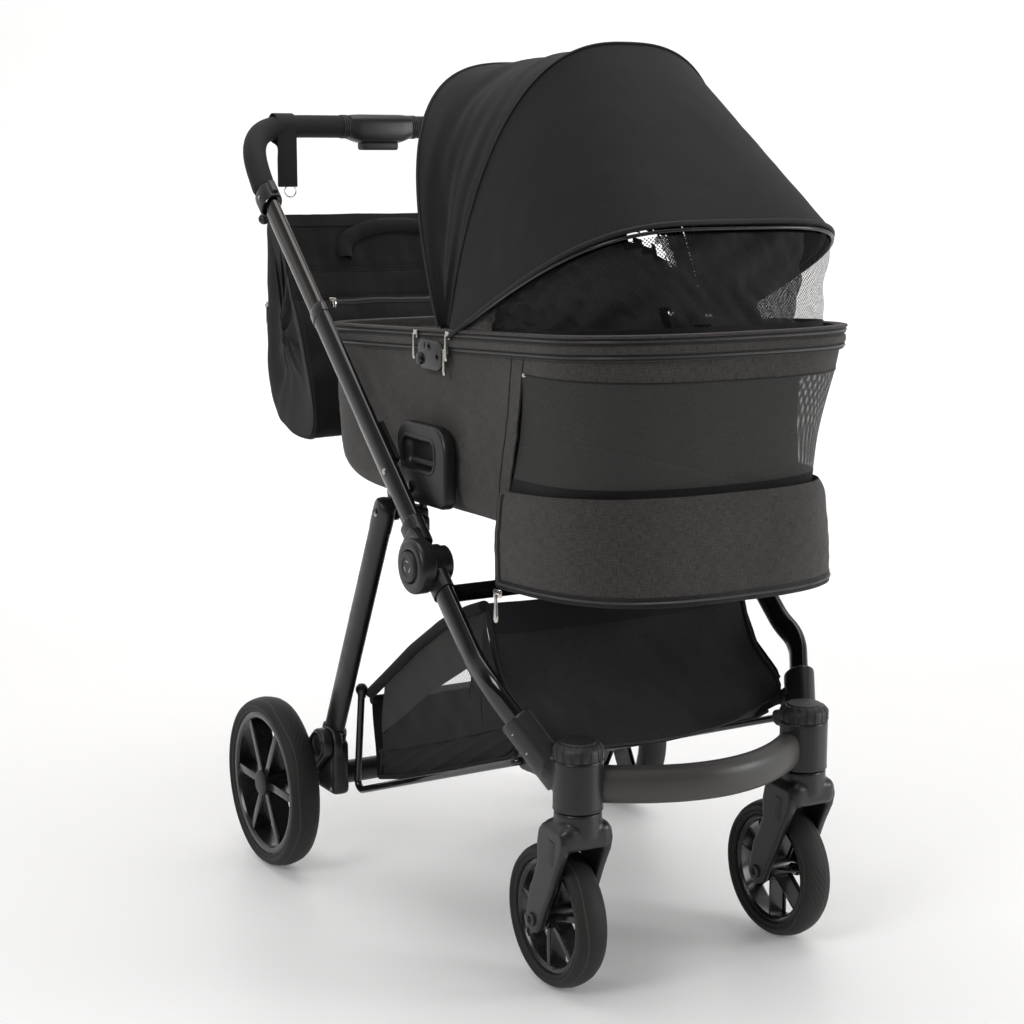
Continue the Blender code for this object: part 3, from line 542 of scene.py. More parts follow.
CHARCOAL = woven("charcoal_weave", (0.053, 0.0478, 0.0448), 0.0009, 0.60, 0.00022, 0.20)
HOOD_CLOTH = woven("hood_weave", (0.0088, 0.0082, 0.0084), 0.0008, 0.55, 0.00018, 0.08)
BLACK_CLOTH = woven("black_weave", (0.0130, 0.0124, 0.0126), 0.0008, 0.30, 0.00018, 0.06)
BASKET_CLOTH = woven("basket_weave", (0.0220, 0.0210, 0.0210), 0.0008, 0.35, 0.00018, 0.10)
SIDE_CLOTH = woven("basket_side_weave", (0.0330, 0.0312, 0.0302), 0.0008, 0.35, 0.00018, 0.10)
BAG_CLOTH = woven("bag_weave", (0.0085, 0.0080, 0.0084), 0.0008, 0.30, 0.00018, 0.06)
LINING = woven("lining_weave", (0.010, 0.0095, 0.0095), 0.0008, 0.20, 0.00015, 0.05)
MATTRESS_CLOTH = woven("mattress_weave", (0.014, 0.0138, 0.014), 0.0010, 0.25, 0.0003, 0.2, False)
WINDOW_NET = net("window_net", (0.053, 0.052, 0.050), 0.0016, 0.27)
THIN_NET = net("thin_net", (0.150, 0.146, 0.142), 0.0026, 0.44)
CURTAIN_NET = net("curtain_net", (0.030, 0.0290, 0.0285), 0.0020, 0.20)
VISOR_NET = net("visor_net", (0.017, 0.0165, 0.0165), 0.0032, 0.46)
# Crossbar plastic: rougher than the others, and its colour is raised as painted light, standing for the top
# light that falls on the crossbar.
CROSSBAR_PLASTIC = moulded("crossbar_plastic", (0.0500, 0.0475, 0.0455), 0.42)
LIGHT_PIPING = ribbed("light_piping", (0.090, 0.086, 0.080), 0.5, 0.0010, "Y", 0.0001)
PLASTIC = moulded("matt_plastic", (0.0120, 0.0114, 0.0110), 0.36)
SATIN_TUBE = lacquered("satin_tube", (0.0060, 0.0056, 0.0054), 0.36)
SOFT_PLASTIC = moulded("soft_plastic", (0.018, 0.0175, 0.017), 0.50, 0.00010)
GLOSS_PLASTIC = lacquered("gloss_plastic", (0.009, 0.009, 0.010), 0.24)
TUBE_PAINT = lacquered("gloss_tube", (0.0055, 0.0050, 0.0050), 0.13)
BLACK_CHROME = lacquered("black_chrome", (0.060, 0.056, 0.052), 0.12, 1.0)
CHROME = lacquered("nickel_zip", (0.62, 0.59, 0.55), 0.20, 1.0)
STEEL = lacquered("drawn_steel", (0.45, 0.45, 0.46), 0.30, 1.0)
TAPE = ribbed("zip_tape", (0.011, 0.0105, 0.011), 0.60, 0.0011, "X", 0.00020)
COIL = ribbed("zip_coil", (0.040, 0.038, 0.038), 0.35, 0.0010, "Y", 0.00035, 0.6)
PIPING = ribbed("piping", (0.012, 0.0115, 0.0115), 0.55, 0.0009, "Y", 0.00012)
WEBBING = ribbed("webbing", (0.0125, 0.012, 0.012), 0.62, 0.0016, "X", 0.00025)
GRIP_WRAP = ribbed("grip_wrap", (0.0135, 0.0132, 0.013), 0.66, 0.0017, "Y", 0.00035)


def polish(node, mat, width=0.0012):
    """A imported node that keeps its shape: finished material and softened edges."""
    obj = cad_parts[node]
    obj.data.materials.clear()
    obj.data.materials.append(mat)
    obj.data.shade_smooth()
    obj.data.set_sharp_from_angle(angle=math.radians(35))
    if width:
        mod = obj.modifiers.new("edges", "BEVEL")
        mod.width = width
        mod.segments = 2
        mod.limit_method = "ANGLE"
        mod.angle_limit = math.radians(40)


# ------------------------------------------------------------------------------ chassis
def chassis_tubes():
    """Push tubes, front and rear legs, and the discs and caps at their ends."""
    oval = ellipse(TUBE_B, TUBE_A, 36)
    outer = sweep(refined([along_tube(0.053), along_tube(SCOPE_S - 0.001)], 0.02), oval, TUBE_UP)
    collar_path = [along_tube(SCOPE_S - t) for t in (0.016, 0.015, 0.002, 0.001, -0.0015)]
    grow = (0.0, 1.0, 1.0, 0.75, 0.25)
    rows = []
    for point, k in zip(collar_path, grow):
        section = ellipse(TUBE_B + 0.0012 * k, TUBE_A + 0.0012 * k, 36)
        rows.append([point + Vector((a, 0, 0)) + TUBE_UP * b for a, b in section])
    collar = grid(rows, closed=True)
    stud = rod(0.0042, along_tube(0.150, 0.003, 0.2385), along_tube(0.150, 0.003, 0.2412), 20, 0.0006)
    pair("push_tube", outer, TUBE_PAINT, "push_frame", ["push_tube_{}"])
    pair("scope_collar", collar, TUBE_PAINT, "push_frame")
    pair("tube_stud", stud, STEEL, "push_frame")

    top, end = V(0.2125, 0.0237, 0.3345), V(0.178, -0.028, 0.266)
    down = (end - top).normalized()
    corners = [along_tube(-0.0270), along_tube(-0.152), top - down * 0.048, top + down * 0.008]
    path = rounded([corners[0], corners[1], corners[2], corners[3]], 0.09, 14)
    leg = sweep(path, oval, TUBE_UP)
    disc = lathe([(0, -0.0110), (0.0205, -0.0110), (0.0225, -0.0095), (0.0225, -0.0010), (0.0250, 0.0005),
                  (0.0250, 0.0185), (0, 0.0185)], V(0.2203, HUB_Y, HUB_Z), "X", 48)
    pair("front_leg", leg, TUBE_PAINT, "front_frame", ["front_leg_{}"])
    pair("hub_disc", disc, PLASTIC, "front_frame")

    cy, cz = LEG_TOP
    foot_y, foot_z = LEG_FOOT
    leg_path = refined([V(TUBE_X, cy, cz), V(TUBE_X, foot_y, foot_z)], 0.03)
    rear = sweep(leg_path, ellipse(0.0120, 0.0175, 32, 2.3), Vector((0, 1, 0)))
    lean = (leg_path[-1] - leg_path[0]).normalized()
    cap_path = [leg_path[0] + lean * t for t in (-0.017, -0.0155, -0.012, -0.006, 0.0, 0.028, 0.030)]
    cap_rows = []
    for point, k in zip(cap_path, (0.02, 0.55, 0.82, 0.97, 1.0, 1.0, 0.9)):
        cap_rows.append((point, k))
    forward = Vector((0, -lean.z, lean.y))
    rows = [[p + Vector((a, 0, 0)) + forward * b for a, b in ellipse(0.0128, 0.0186 * k, 32, 2.3)]
            for p, k in cap_rows]
    cap = grid(rows, closed=True)
    rivet = lathe([(0, 0.0010), (0.0030, 0.0008), (0.0042, 0), (0.0042, -0.003)],
                  V(TUBE_X + 0.0131, cy, cz - 0.002), "X", 24)
    pair("rear_leg", rear, SATIN_TUBE, "rear_frame", ["rear_leg_{}"])
    pair("rear_leg_cap", evaluated(cap, ("SUBSURF", {"levels": 1})), PLASTIC, "rear_frame")
    pair("rear_leg_rivet", rivet, STEEL, "rear_frame")
    polish("leg_cross_tube", TUBE_PAINT, 0)
    for word in SIDES:
        polish(f"leg_bracket_{word}", PLASTIC)


def caster_parts():
    """Housings, lock knobs, forks and crossbar at the front."""
    top, end = V(0.2125, 0.0237, 0.3345), V(0.178, -0.028, 0.266)
    post0, post1 = V(TRACK_F, POST_Y, POST_Z0), V(TRACK_F, POST_Y, POST_Z1 + 0.0005)
    sleeve = sweep([top, top.lerp(end, 0.5), end], ellipse(0.0180, 0.0250, 32), TUBE_UP)
    lug = slab(arc(0.033, 0.277, 0.0105, -90, 90, 12) + [(-0.010, 0.296), (-0.028, 0.268)],
               0.1850, 0.1985)
    gusset = rod(0.020, V(TRACK_F, POST_Y, 0.262), V(0.187, -0.015, 0.284), 32)
    housing = fused([rod(POST_R, post0, post1, 64), sleeve, lug, gusset], 0.0017, 5)
    lip = lathe([(0.0285, 0.0), (0.0302, 0.0006), (0.0302, 0.0030), (0.0296, 0.0036)],
                V(TRACK_F, POST_Y, POST_Z0 - 0.0004), "Z", 64)
    pair("caster_housing", merged(housing, lip), PLASTIC, "front_frame",
         ["caster_housing_{}"])
    rivets = []
    for t in (0.22, 0.52):
        at = top.lerp(end, t)
        out = Vector((1, 0, 0)) * 0.0188
        rivets.append(rod(0.0032, at + out - Vector((0.003, 0, 0)), at + out, 20, 0.0008))
    pair("sleeve_rivets", merged(*rivets), STEEL, "front_frame")

    ribs, steps = 36, 288
    profile = [(0.0, 0.0226), (0.012, 0.0224), (0.0205, 0.0214), (0.0222, 0.0196), (0.0236, 0.0196),
               (0.0262, 0.0184), (0.0284, 0.0160), (0.0300, 0.0140), (0.0306, 0.0128),
               (0.0306, 0.0020), (0.0300, 0.0005)]
    rows = []
    for i in range(steps + 1):
        angle = 2 * math.pi * i / steps
        groove = 0.0009 if (i * ribs // steps) % 2 and i % (steps // ribs) else 0.0
        row = []
        for radius, height in profile:
            r = radius - (groove if 0.0018 < height < 0.0185 and radius > 0.025 else 0.0)
            row.append(V(TRACK_F + r * math.cos(angle), POST_Y + r * math.sin(angle),
                         POST_Z1 + height))
        rows.append(row)
    pair("swivel_knob", tidy(grid(rows)), SOFT_PLASTIC, "knob_{}",
         ["swivel_knob_{}"], 30)

    path = []
    reach, bow = 0.148, 0.066
    for i in range(41):
        x = reach * (2 * i / 40 - 1)
        path.append(V(x, POST_Y + 0.008 - bow * (1 - (x / 0.155) ** 2), 0.262))
    bar = sweep(path, ellipse(0.0225, 0.0165, 40, 2.5), Vector((0, -1, 0)))
    # The crossbar's lighter plastic is painted light from above.
    piece("front_crossbar", bar, CROSSBAR_PLASTIC, "front_frame", ["front_crossbar"])

    axle = (0.0, FRONT_R)
    outline = (arc(*axle, 0.0170, -165, 10, 14)
               + [(0.008, 0.128), (0.000, 0.142), (-0.010, 0.165), (-0.009, 0.190), (-0.013, 0.208),
                  (-0.022, 0.2175), (-0.066, 0.2150), (-0.070, 0.200), (-0.066, 0.185), (-0.052, 0.158),
                  (-0.040, 0.130), (-0.026, 0.105)])
    crown = box(V(-0.0350, -0.0730, 0.1880), V(0.0350, -0.0165, 0.2220), 0.012, 4)
    ring = rod(0.0288, V(0, POST_Y, 0.205), V(0, POST_Y, POST_Z0 - 0.0012), 48)
    legs = [slab(outline, x, x + 0.0120, 0.0035) for x in (0.0240, -0.0360)]
    fork = fused([crown, ring, *legs], 0.0017, 7)
    inlay = sweep([V(0.0352, y, z) for y, z in
                   ((-0.0405, 0.1700), (-0.0435, 0.1850), (-0.0450, 0.2000))],
                  ellipse(0.0016, 0.0085, 24, 2.6), Vector((0, 1, 0)))
    cap = lathe([(0, -0.0006), (0.0040, -0.0006), (0.0046, 0.0016), (0.0078, 0.0020),
                 (0.0088, 0.0010), (0.0088, -0.004), (0, -0.004)], V(0.0372, *axle), "X", 36)
    both = [flipped(part, k) for k in (1, -1) for part in (inlay, cap)]
    for word, side in SIDES.items():
        shift = Matrix.Translation((side * TRACK_F, 0, 0))
        for name, mesh, mat, replaced in ((f"caster_fork_{word}", fork, PLASTIC, True),
                                          (f"fork_inlays_{word}", merged(*both), SOFT_PLASTIC, False)):
            copy = mesh.copy()
            copy.transform(shift)
            piece(name, copy, mat, f"caster_{word}", [name] if replaced else [])


def wheel_rim(seat, inner, half, hub_r, hub_half, spokes, width, thick, outward):
    """Rim ring with lips, ribbed spokes and a stepped hub, about the X axis at the origin."""
    ring = [(seat, half), (seat - 0.0035, half + 0.0012), (inner + 0.002, half),
            (inner, half - 0.003), (inner + 0.0015, 0.0), (inner, 0.003 - half),
            (inner + 0.002, -half), (seat - 0.0035, -half - 0.0012), (seat, -half), (seat, half)]
    parts = [lathe(ring, Vector((0, 0, 0)), "X", 96)]
    hub = [(0.0062, hub_half), (hub_r * 0.82, hub_half), (hub_r, hub_half - 0.002),
           (hub_r * 1.12, 0.0), (hub_r, -hub_half), (0.0062, -hub_half), (0.0062, hub_half)]
    parts.append(lathe(hub, Vector((0, 0, 0)), "X", 48))
    for i in range(spokes):
        turn = Matrix.Rotation(2 * math.pi * (i + 0.5) / spokes, 4, "X")
        face, web = outward, width * 0.36
        flange = box((face - thick, -width / 2, hub_r * 0.9), (face, width / 2, inner + 0.0022), 0.0012, 2)
        rib = box((-half + 0.002, -web / 2, hub_r * 0.9), (face - thick / 2, web / 2, inner + 0.0022),
                  0.0008, 1)
        for part in (flange, rib):
            part.transform(turn)
            parts.append(part)
    return merged(*parts)


def tyre_mesh(radius, width, seat):
    """Tyre seated on a rim."""
    half = width / 2
    right = [(seat, half * 0.78), (seat + 0.0012, half * 0.86), (seat + 0.004, half * 0.90),
             (seat + 0.0052, half * 0.865), (seat + 0.0064, half * 0.91),
             (radius - 0.0105, half * 0.985), (radius - 0.0085, half), (radius - 0.0060, half * 0.955),
             (radius - 0.0030, half * 0.74), (radius - 0.0011, half * 0.44), (radius, half * 0.12)]
    loop = right + [(r, -x) for r, x in reversed(right)] + [right[0]]
    return lathe(loop, Vector((0, 0, 0)), "X", 144)


def wheels():
    """Rims, tyres and their caps, front and rear."""
    girth = 0.083
    rubber = tyre_rubber("tyre_rubber", (0.0125, 0.0120, 0.0115), girth)
    front = wheel_rim(0.0703, 0.0625, 0.0145, 0.0150, 0.0222, 7, 0.0085, 0.0035, 0.0125)
    rear = wheel_rim(0.1007, 0.0910, 0.0165, 0.0175, 0.0205, 6, 0.0115, 0.0030, 0.0150)
    front_cap = lathe([(0.0055, 0.0225), (0.0105, 0.0232), (0.0120, 0.0225)], Vector(), "X", 32)
    rear_cap = lathe([(0, 0.0232), (0.0120, 0.0226), (0.0160, 0.0214), (0.0176, 0.0196),
                      (0.0176, 0.0150)], Vector(), "X", 48)
    sets = (("front", front, front_cap, tyre_mesh(FRONT_R, 0.040, 0.0705), (TRACK_F, 0.0, FRONT_R)),
            ("rear", rear, rear_cap, tyre_mesh(REAR_R, 0.042, 0.1010), (TRACK_R, REAR_Y, REAR_R)))
    for end, rim, cap, tyre, place in sets:
        for mesh in (rim, cap, tyre):
            mesh.transform(Matrix.Translation(V(*place)))
        pair(f"{end}_rim", rim, GLOSS_PLASTIC, end + "_wheel_{}",
             [end + "_rim_{}"])
        pair(f"{end}_hub_cap", cap, SOFT_PLASTIC, end + "_wheel_{}")
        pair(f"{end}_tyre", tyre, rubber, end + "_wheel_{}", [end + "_tyre_{}"], 55)


def hubs():
    """Fold hubs: cover, collar, carrycot adapter, and push button with its dashes."""
    spin = Matrix.Translation(V(0, HUB_Y, HUB_Z)) @ Matrix.Rotation(SLOPE, 4, "X")
    disc = lathe([(0, 0.2512), (0.0208, 0.2512), (0.0208, 0.2600), (0.0215, 0.2622), (0.0300, 0.2618),
                  (0.0340, 0.2596), (0.0352, 0.2560), (0.0352, 0.2420), (0.0345, 0.2396), (0, 0.2396)],
                 V(0, HUB_Y, HUB_Z), "X", 72)
    sleeve = sweep([along_tube(t, 0, 0.2325) for t in (0.0265, 0.0275, 0.0480, 0.0650, 0.0670)],
                   ellipse(0.0130, 0.0208, 40, 2.4), TUBE_UP)
    shroud = slab([(0.004, -0.0340), (0.026, -0.0275), (0.046, -0.0200), (0.046, 0.0200), (0.026, 0.0275),
                   (0.004, 0.0340)], 0.2400, 0.2508)
    shroud.transform(spin @ Matrix.Translation((0, -AXLE_Y, 0)))
    cover = fused([disc, sleeve, shroud], 0.0013, 7)
    shelf = box(V(0.1975, 0.2640, 0.5320), V(0.2190, 0.2975, 0.5530), 0.006, 4)
    neck = box(V(0.2010, 0.2560, 0.5200), V(0.2195, 0.2900, 0.5420), 0.004, 2)
    peg = box(V(0.2000, 0.2660, 0.5480), V(0.2076, 0.2770, 0.5760), 0.002, 2)
    pair("hub_cover", cover, PLASTIC, "push_frame", ["hub_cover_{}"])
    collar = sweep([along_tube(-t) for t in (0.0200, 0.0210, 0.0440, 0.0450)],
                   ellipse(0.0117, 0.0197, 40, 2.3), TUBE_UP)
    pair("leg_collar", collar, PLASTIC, "front_frame")
    pair("cot_adapter", merged(shelf, neck, peg), PLASTIC, "push_frame")
    button = lathe([(0, 0.2640), (0.0120, 0.2642), (0.0125, 0.2650), (0.0165, 0.2654),
                    (0.0188, 0.2646), (0.0198, 0.2625), (0.0198, 0.2560)], V(0, HUB_Y, HUB_Z), "X", 64)
    pair("hub_button", button, SOFT_PLASTIC, "button_{}", ["hub_button_{}"])
    marks = []
    for turn in (0, 120, 240):
        dash = box((0.2640, -0.0034, 0.0060), (0.2647, 0.0034, 0.0078), 0.0003, 1)
        dash.transform(Matrix.Translation(V(0, HUB_Y, HUB_Z)) @ Matrix.Rotation(math.radians(turn), 4, "X"))
        marks.append(dash)
    pair("hub_button_marks", merged(*marks), STEEL, "button_{}")


def rear_end():
    """Rear beam with its screws, suspension arms with spring cups, and the brake pedal."""
    bar = rod(0.016, V(-0.2240, *BAR), V(0.2240, *BAR), 48, 0.001)
    parts = [bar]
    for side in SIDES.values():
        block = box(V(0.2175, 0.4690, 0.1180), V(0.2436, 0.5280, 0.1960), 0.007, 3)
        socket = sweep([V(TUBE_X, 0.5000, 0.1850), V(TUBE_X, 0.4905, 0.2110)],
                       ellipse(0.0150, 0.0215, 32, 2.4), Vector((0, 1, 0)))
        boss = rod(0.0225, V(0.2300, *ARM_PIVOT), V(0.2438, *ARM_PIVOT), 40, 0.002)
        parts += [flipped(part, side) for part in (block, socket, boss)]
    piece("rear_beam", fused(parts, 0.0020, 5), PLASTIC, "rear_frame", ["rear_beam"])
    start, end = ARM_PIVOT, (REAR_Y, REAR_R)
    angle = math.degrees(math.atan2(end[1] - start[1], end[0] - start[0]))
    outline = arc(*start, 0.0215, angle + 90, angle + 270, 18) + arc(*end, 0.0190, angle - 90,
                                                                     angle + 90, 18)
    arm = slab(outline, 0.2443, 0.2600, 0.0035)
    cap = lathe([(0, 0.2632), (0.0080, 0.2628), (0.0125, 0.2612), (0.0135, 0.2590)],
                V(0, *start), "X", 40)
    axle = rod(0.0060, V(0.2590, *end), V(0.3020, *end), 24)
    spring_cup = lathe([(0.0150, 0.2600), (0.0162, 0.2618), (0.0175, 0.2618), (0.0185, 0.2598)],
                       V(0, *start), "X", 48)
    pair("suspension_arm", merged(arm, cap, axle, spring_cup), PLASTIC, "suspension_{}",
         ["suspension_arm_{}"])
    screw = merged(*[rod(0.0028, V(0.236, y, z), V(0.2446, y, z), 18, 0.0006)
                     for y, z in ((0.478, 0.127), (0.519, 0.127))])
    pair("bracket_screws", screw, STEEL, "rear_frame")
    polish("brake_pedal", SOFT_PLASTIC, 0.0015)
    ribs = [box(V(-0.040, y, 0.1455), V(0.040, y + 0.0035, 0.1476), 0.0008, 2)
            for y in (0.532, 0.540, 0.548, 0.556)]
    piece("brake_pedal_ribs", merged(*ribs), SOFT_PLASTIC, "brake")


# ------------------------------------------------------------------------------ handle
def handle_parts():
    """Inner tubes and bar, clamps, grips, fold housing and trigger."""
    inner = sweep(refined([along_tube(0.300), along_tube(CLAMP_S - 0.010)], 0.03),
                  ellipse(0.0083, 0.0160, 40, 2.5), TUBE_UP)
    groove_ends = [along_tube(s, 0, TUBE_X + 0.0083) for s in (0.300, CLAMP_S - 0.012)]
    groove = sweep(refined(groove_ends, 0.03),
                   ellipse(0.0004, 0.0022, 12, 3), TUBE_UP)
    piece("handle_tubes", merged(inner, flipped(inner, -1)), BLACK_CHROME, "handle",
          ["handle_tube"])
    piece("handle_tube_seams", merged(groove, flipped(groove, -1)), GLOSS_PLASTIC, "handle")

    clamp_rows = []
    for s, k in ((-0.0140, 0.86), (-0.0128, 0.97), (-0.0100, 1.0), (0.0100, 1.0), (0.0128, 0.97),
                 (0.0140, 0.86)):
        clamp_rows.append([along_tube(CLAMP_S + s) + Vector((x, 0, 0)) + TUBE_UP * y
                           for x, y in ellipse(0.0152 * k, 0.0218 * k, 40, 2.3)])
    clamp = grid(clamp_rows, closed=True)
    neck = rod(0.0045, along_tube(CLAMP_S, -0.0180), along_tube(CLAMP_S - 0.004, -0.0290), 20)
    ball = lathe([(0.0, 0.0078)] + [(0.0078 * math.sin(math.radians(a)), 0.0078 * math.cos(math.radians(a)))
                                    for a in range(15, 180, 15)] + [(0.0, -0.0078)],
                 along_tube(CLAMP_S - 0.005, -0.0330), "X", 28)
    lever = box((-0.0060, -0.0110, -0.0070), (0.0045, 0.0110, 0.0070), 0.0025, 3)
    lever.transform(Matrix.Translation(along_tube(CLAMP_S + 0.002, 0.0190)) @ Matrix.Rotation(SLOPE, 4, "X"))
    screw = rod(0.0026, along_tube(CLAMP_S, 0.004, TUBE_X + 0.0150),
                along_tube(CLAMP_S, 0.004, TUBE_X + 0.0166), 18, 0.0005)
    pair("tube_clamp", merged(clamp, neck, ball, lever), PLASTIC, "handle",
         ["tube_clamp_{}"])
    pair("clamp_screw", screw, STEEL, "handle")

    start = along_tube(CLAMP_S + 0.0165)
    corners = [start, V(TUBE_X, 0.742, 0.998), V(0.192, HANDLE_Y, HANDLE_Z), V(0.0575, HANDLE_Y, HANDLE_Z)]
    path = refined(rounded(corners, 0.050, 14), 0.008)
    path = even(path, 60)
    for _ in range(60):
        relaxed = [(a + b * 2 + c) / 4 for a, b, c in zip(path[3:], path[4:], path[5:-3])]
        path = path[:4] + relaxed + path[-4:]
    grip = sweep(path, ellipse(0.0166, 0.0166, 32), TUBE_UP,
                 size=lambda t: 1.0 - 0.10 * (ease((0.02 - t) / 0.02) + ease((t - 0.985) / 0.015)))
    pair("grip", grip, GRIP_WRAP, "handle", ["grip_{}"])
    seam_path = [p - up * 0.0166 for p, (_, _, up) in zip(path, frames(path, TUBE_UP))]
    seam = sweep(seam_path[2:-2], ellipse(0.0010, 0.0006, 8), TUBE_UP)
    pair("grip_seam", seam, PIPING, "handle")
    collars = []
    for x in (0.0535, 0.0570, 0.0605):
        collars.append(lathe([(0.0150, -0.0016), (0.0176, -0.0010), (0.0176, 0.0010), (0.0150, 0.0016)],
                             V(x, HANDLE_Y, HANDLE_Z), "X", 36))
    pair("grip_collar", merged(*collars), SOFT_PLASTIC, "handle")

    rows = []
    for x, high, lowz, deep in ((-0.0520, 0.0160, -0.0160, 0.0160), (-0.0505, 0.0172, -0.0175, 0.0178),
                                (-0.0400, 0.0180, -0.0215, 0.0190), (-0.0330, 0.0185, -0.0236, 0.0196),
                                (0.0330, 0.0185, -0.0236, 0.0196), (0.0400, 0.0180, -0.0215, 0.0190),
                                (0.0505, 0.0172, -0.0175, 0.0178), (0.0520, 0.0160, -0.0160, 0.0160)):
        middle, half = (high + lowz) / 2, (high - lowz) / 2
        rows.append([V(x, HANDLE_Y + a, HANDLE_Z + middle + b) for a, b in ellipse(deep, half, 40, 3.4)])
    housing = sweep([V(-0.052, HANDLE_Y, HANDLE_Z), V(0.052, HANDLE_Y, HANDLE_Z)],
                    ellipse(0.012, 0.012, 24), Vector((0, 0, 1)))
    shell = grid(rows, closed=True)
    piece("fold_housing", merged(shell, housing), PLASTIC, "handle", ["fold_housing"])
    trigger = box(V(-0.0300, HANDLE_Y - 0.0120, HANDLE_Z - 0.0345),
                  V(0.0300, HANDLE_Y + 0.0100, HANDLE_Z - 0.0215), 0.0040, 4)
    piece("fold_trigger", trigger, SOFT_PLASTIC, "trigger", ["fold_trigger"])


def hang_strap():
    """Webbing folded over the grip and sewn, with a wire ring at its end."""
    x0, half = -0.1560, 0.0150
    loop = [V(x0, HANDLE_Y + 0.0182 * math.sin(a), HANDLE_Z + 0.0182 * math.cos(a))
            for a in [math.radians(d) for d in range(-100, 101, 10)]]
    front = [V(x0, HANDLE_Y - 0.0172, HANDLE_Z - t) for t in (0.088, 0.075, 0.050, 0.020)]
    back = [V(x0, HANDLE_Y - 0.0150 + 0.030 * ease((0.020 - t) / 0.05 + 0.6) * 0.0, HANDLE_Z - t)
            for t in (0.030, 0.050, 0.075, 0.087)]
    wrap = smooth_path(front + loop + [V(x0, HANDLE_Y + 0.010, HANDLE_Z - 0.020)] + back, 0.004)
    rows = []
    for k in range(9):
        x = half * (k / 4 - 1)
        rows.append([p + Vector((x, 0, 0)) for p in wrap])
    strap = evaluated(grid(rows), ("SOLIDIFY", {"thickness": 0.0014, "offset": 0.0}))
    piece("hang_strap", strap, WEBBING, "handle", ["hang_strap"])
    ring = []
    for i in range(32):
        a = 2 * math.pi * i / 32
        ring.append(V(x0 + 0.004 + 0.0090 * math.cos(a), HANDLE_Y - 0.0165,
                      HANDLE_Z - 0.0940 + 0.0085 * math.sin(a)))
    piece("strap_ring", sweep(ring, ellipse(0.0010, 0.0010, 10), Vector((0, 1, 0)), closed=True),
          CHROME, "handle")


# ------------------------------------------------------------------------------ cloth surfaces
def even(points, count):
    """Polyline resampled to count equal steps."""
    marks = [0.0]
    for a, b in zip(points, points[1:]):
        marks.append(marks[-1] + (b - a).length)
    out, i = [], 0
    for k in range(count + 1):
        want = marks[-1] * k / count
        while i < len(marks) - 2 and marks[i + 1] < want:
            i += 1
        span = marks[i + 1] - marks[i]
        out.append(points[i].lerp(points[i + 1], (want - marks[i]) / span if span else 0.0))
    return out


def rippled(rows, amount, closed=False):
    """Rows of points moved along the surface normal by amount(point, i, j) metres."""
    count, width = len(rows), len(rows[0])
    out = []
    for i, row in enumerate(rows):
        new = []
        for j, p in enumerate(row):
            if closed:
                across = row[(j + 1) % width] - row[j - 1]
            else:
                across = row[min(j + 1, width - 1)] - row[max(j - 1, 0)]
            down = rows[min(i + 1, count - 1)][j] - rows[max(i - 1, 0)][j]
            new.append(p + across.cross(down).normalized() * amount(p, i / (count - 1), j / (width - 1)))
        out.append(new)
    return out


def cloth(rows):
    """Surface through evenly spaced rows: at(u, v) in metres along and across, and its size."""
    middle, centre = rows[len(rows) // 2], len(rows[0]) // 2
    wide = sum((b - a).length for a, b in zip(middle, middle[1:]))
    tall = sum((b[centre] - a[centre]).length for a, b in zip(rows, rows[1:]))

    def at(u, v):
        a = u / wide * (len(rows[0]) - 1)
        b = v / tall * (len(rows) - 1)
        j = min(max(int(a), 0), len(rows[0]) - 2)
        i = min(max(int(b), 0), len(rows) - 2)
        top = rows[i][j].lerp(rows[i][j + 1], a - j)
        return top.lerp(rows[i + 1][j].lerp(rows[i + 1][j + 1], a - j), b - i)
    return at, wide, tall


def declared(obj, rows):
    """Lengths of rows along and across them, worked out and not kept; obj is not used. No cut size is
    known, so its flat size is measured along its own rows and its flat area on its own mesh, times its
    fullness.
    """
    _, wide, tall = cloth(rows)


def lifted(at, u, v, height, e=0.0025):
    """Point of a surface at (u, v), raised along its normal."""
    across, down = at(u + e, v) - at(u - e, v), at(u, v + e) - at(u, v - e)
    return at(u, v) + across.cross(down).normalized() * height


def ribbon(at, path, profile, step=0.004):
    """Strip laid on a surface: path is (u, v) corners, profile is (offset, height) points."""
    flat = refined([Vector((u, v, 0)) for u, v in path], step)
    rows = []
    for p, (tangent, _, _) in zip(flat, frames(flat, Vector((0, 0, 1)))):
        side = Vector((-tangent.y, tangent.x, 0))
        rows.append([lifted(at, p.x + side.x * off, p.y + side.y * off, height)
                     for off, height in profile])
    return grid(rows)


def tape_profile(half, thick=0.0007):
    """Section of a flat tape."""
    return [(-half, 0.0), (-half, thick), (-half * 0.5, thick), (0.0, thick), (half * 0.5, thick),
            (half, thick), (half, 0.0)]


def bead_profile(radius, rise=0.0004):
    """Half-round section of a seam or coil."""
    return [(radius * math.cos(math.radians(a)), rise + radius * math.sin(math.radians(a)))
            for a in range(180, -1, -30)]


def zip_on(at, path, half=0.0055, coil=0.0017):
    """Tape and coil of a zip along a path on a surface."""
    return (ribbon(at, path, tape_profile(half)),
            ribbon(at, path, bead_profile(coil, 0.0006), 0.003))


def ripples(p, size, seed):
    """Smooth noise at a point, with its own length of wave along each axis."""
    return noise.noise(Vector((p.x / size[0] + seed, p.y / size[1], p.z / size[2])))


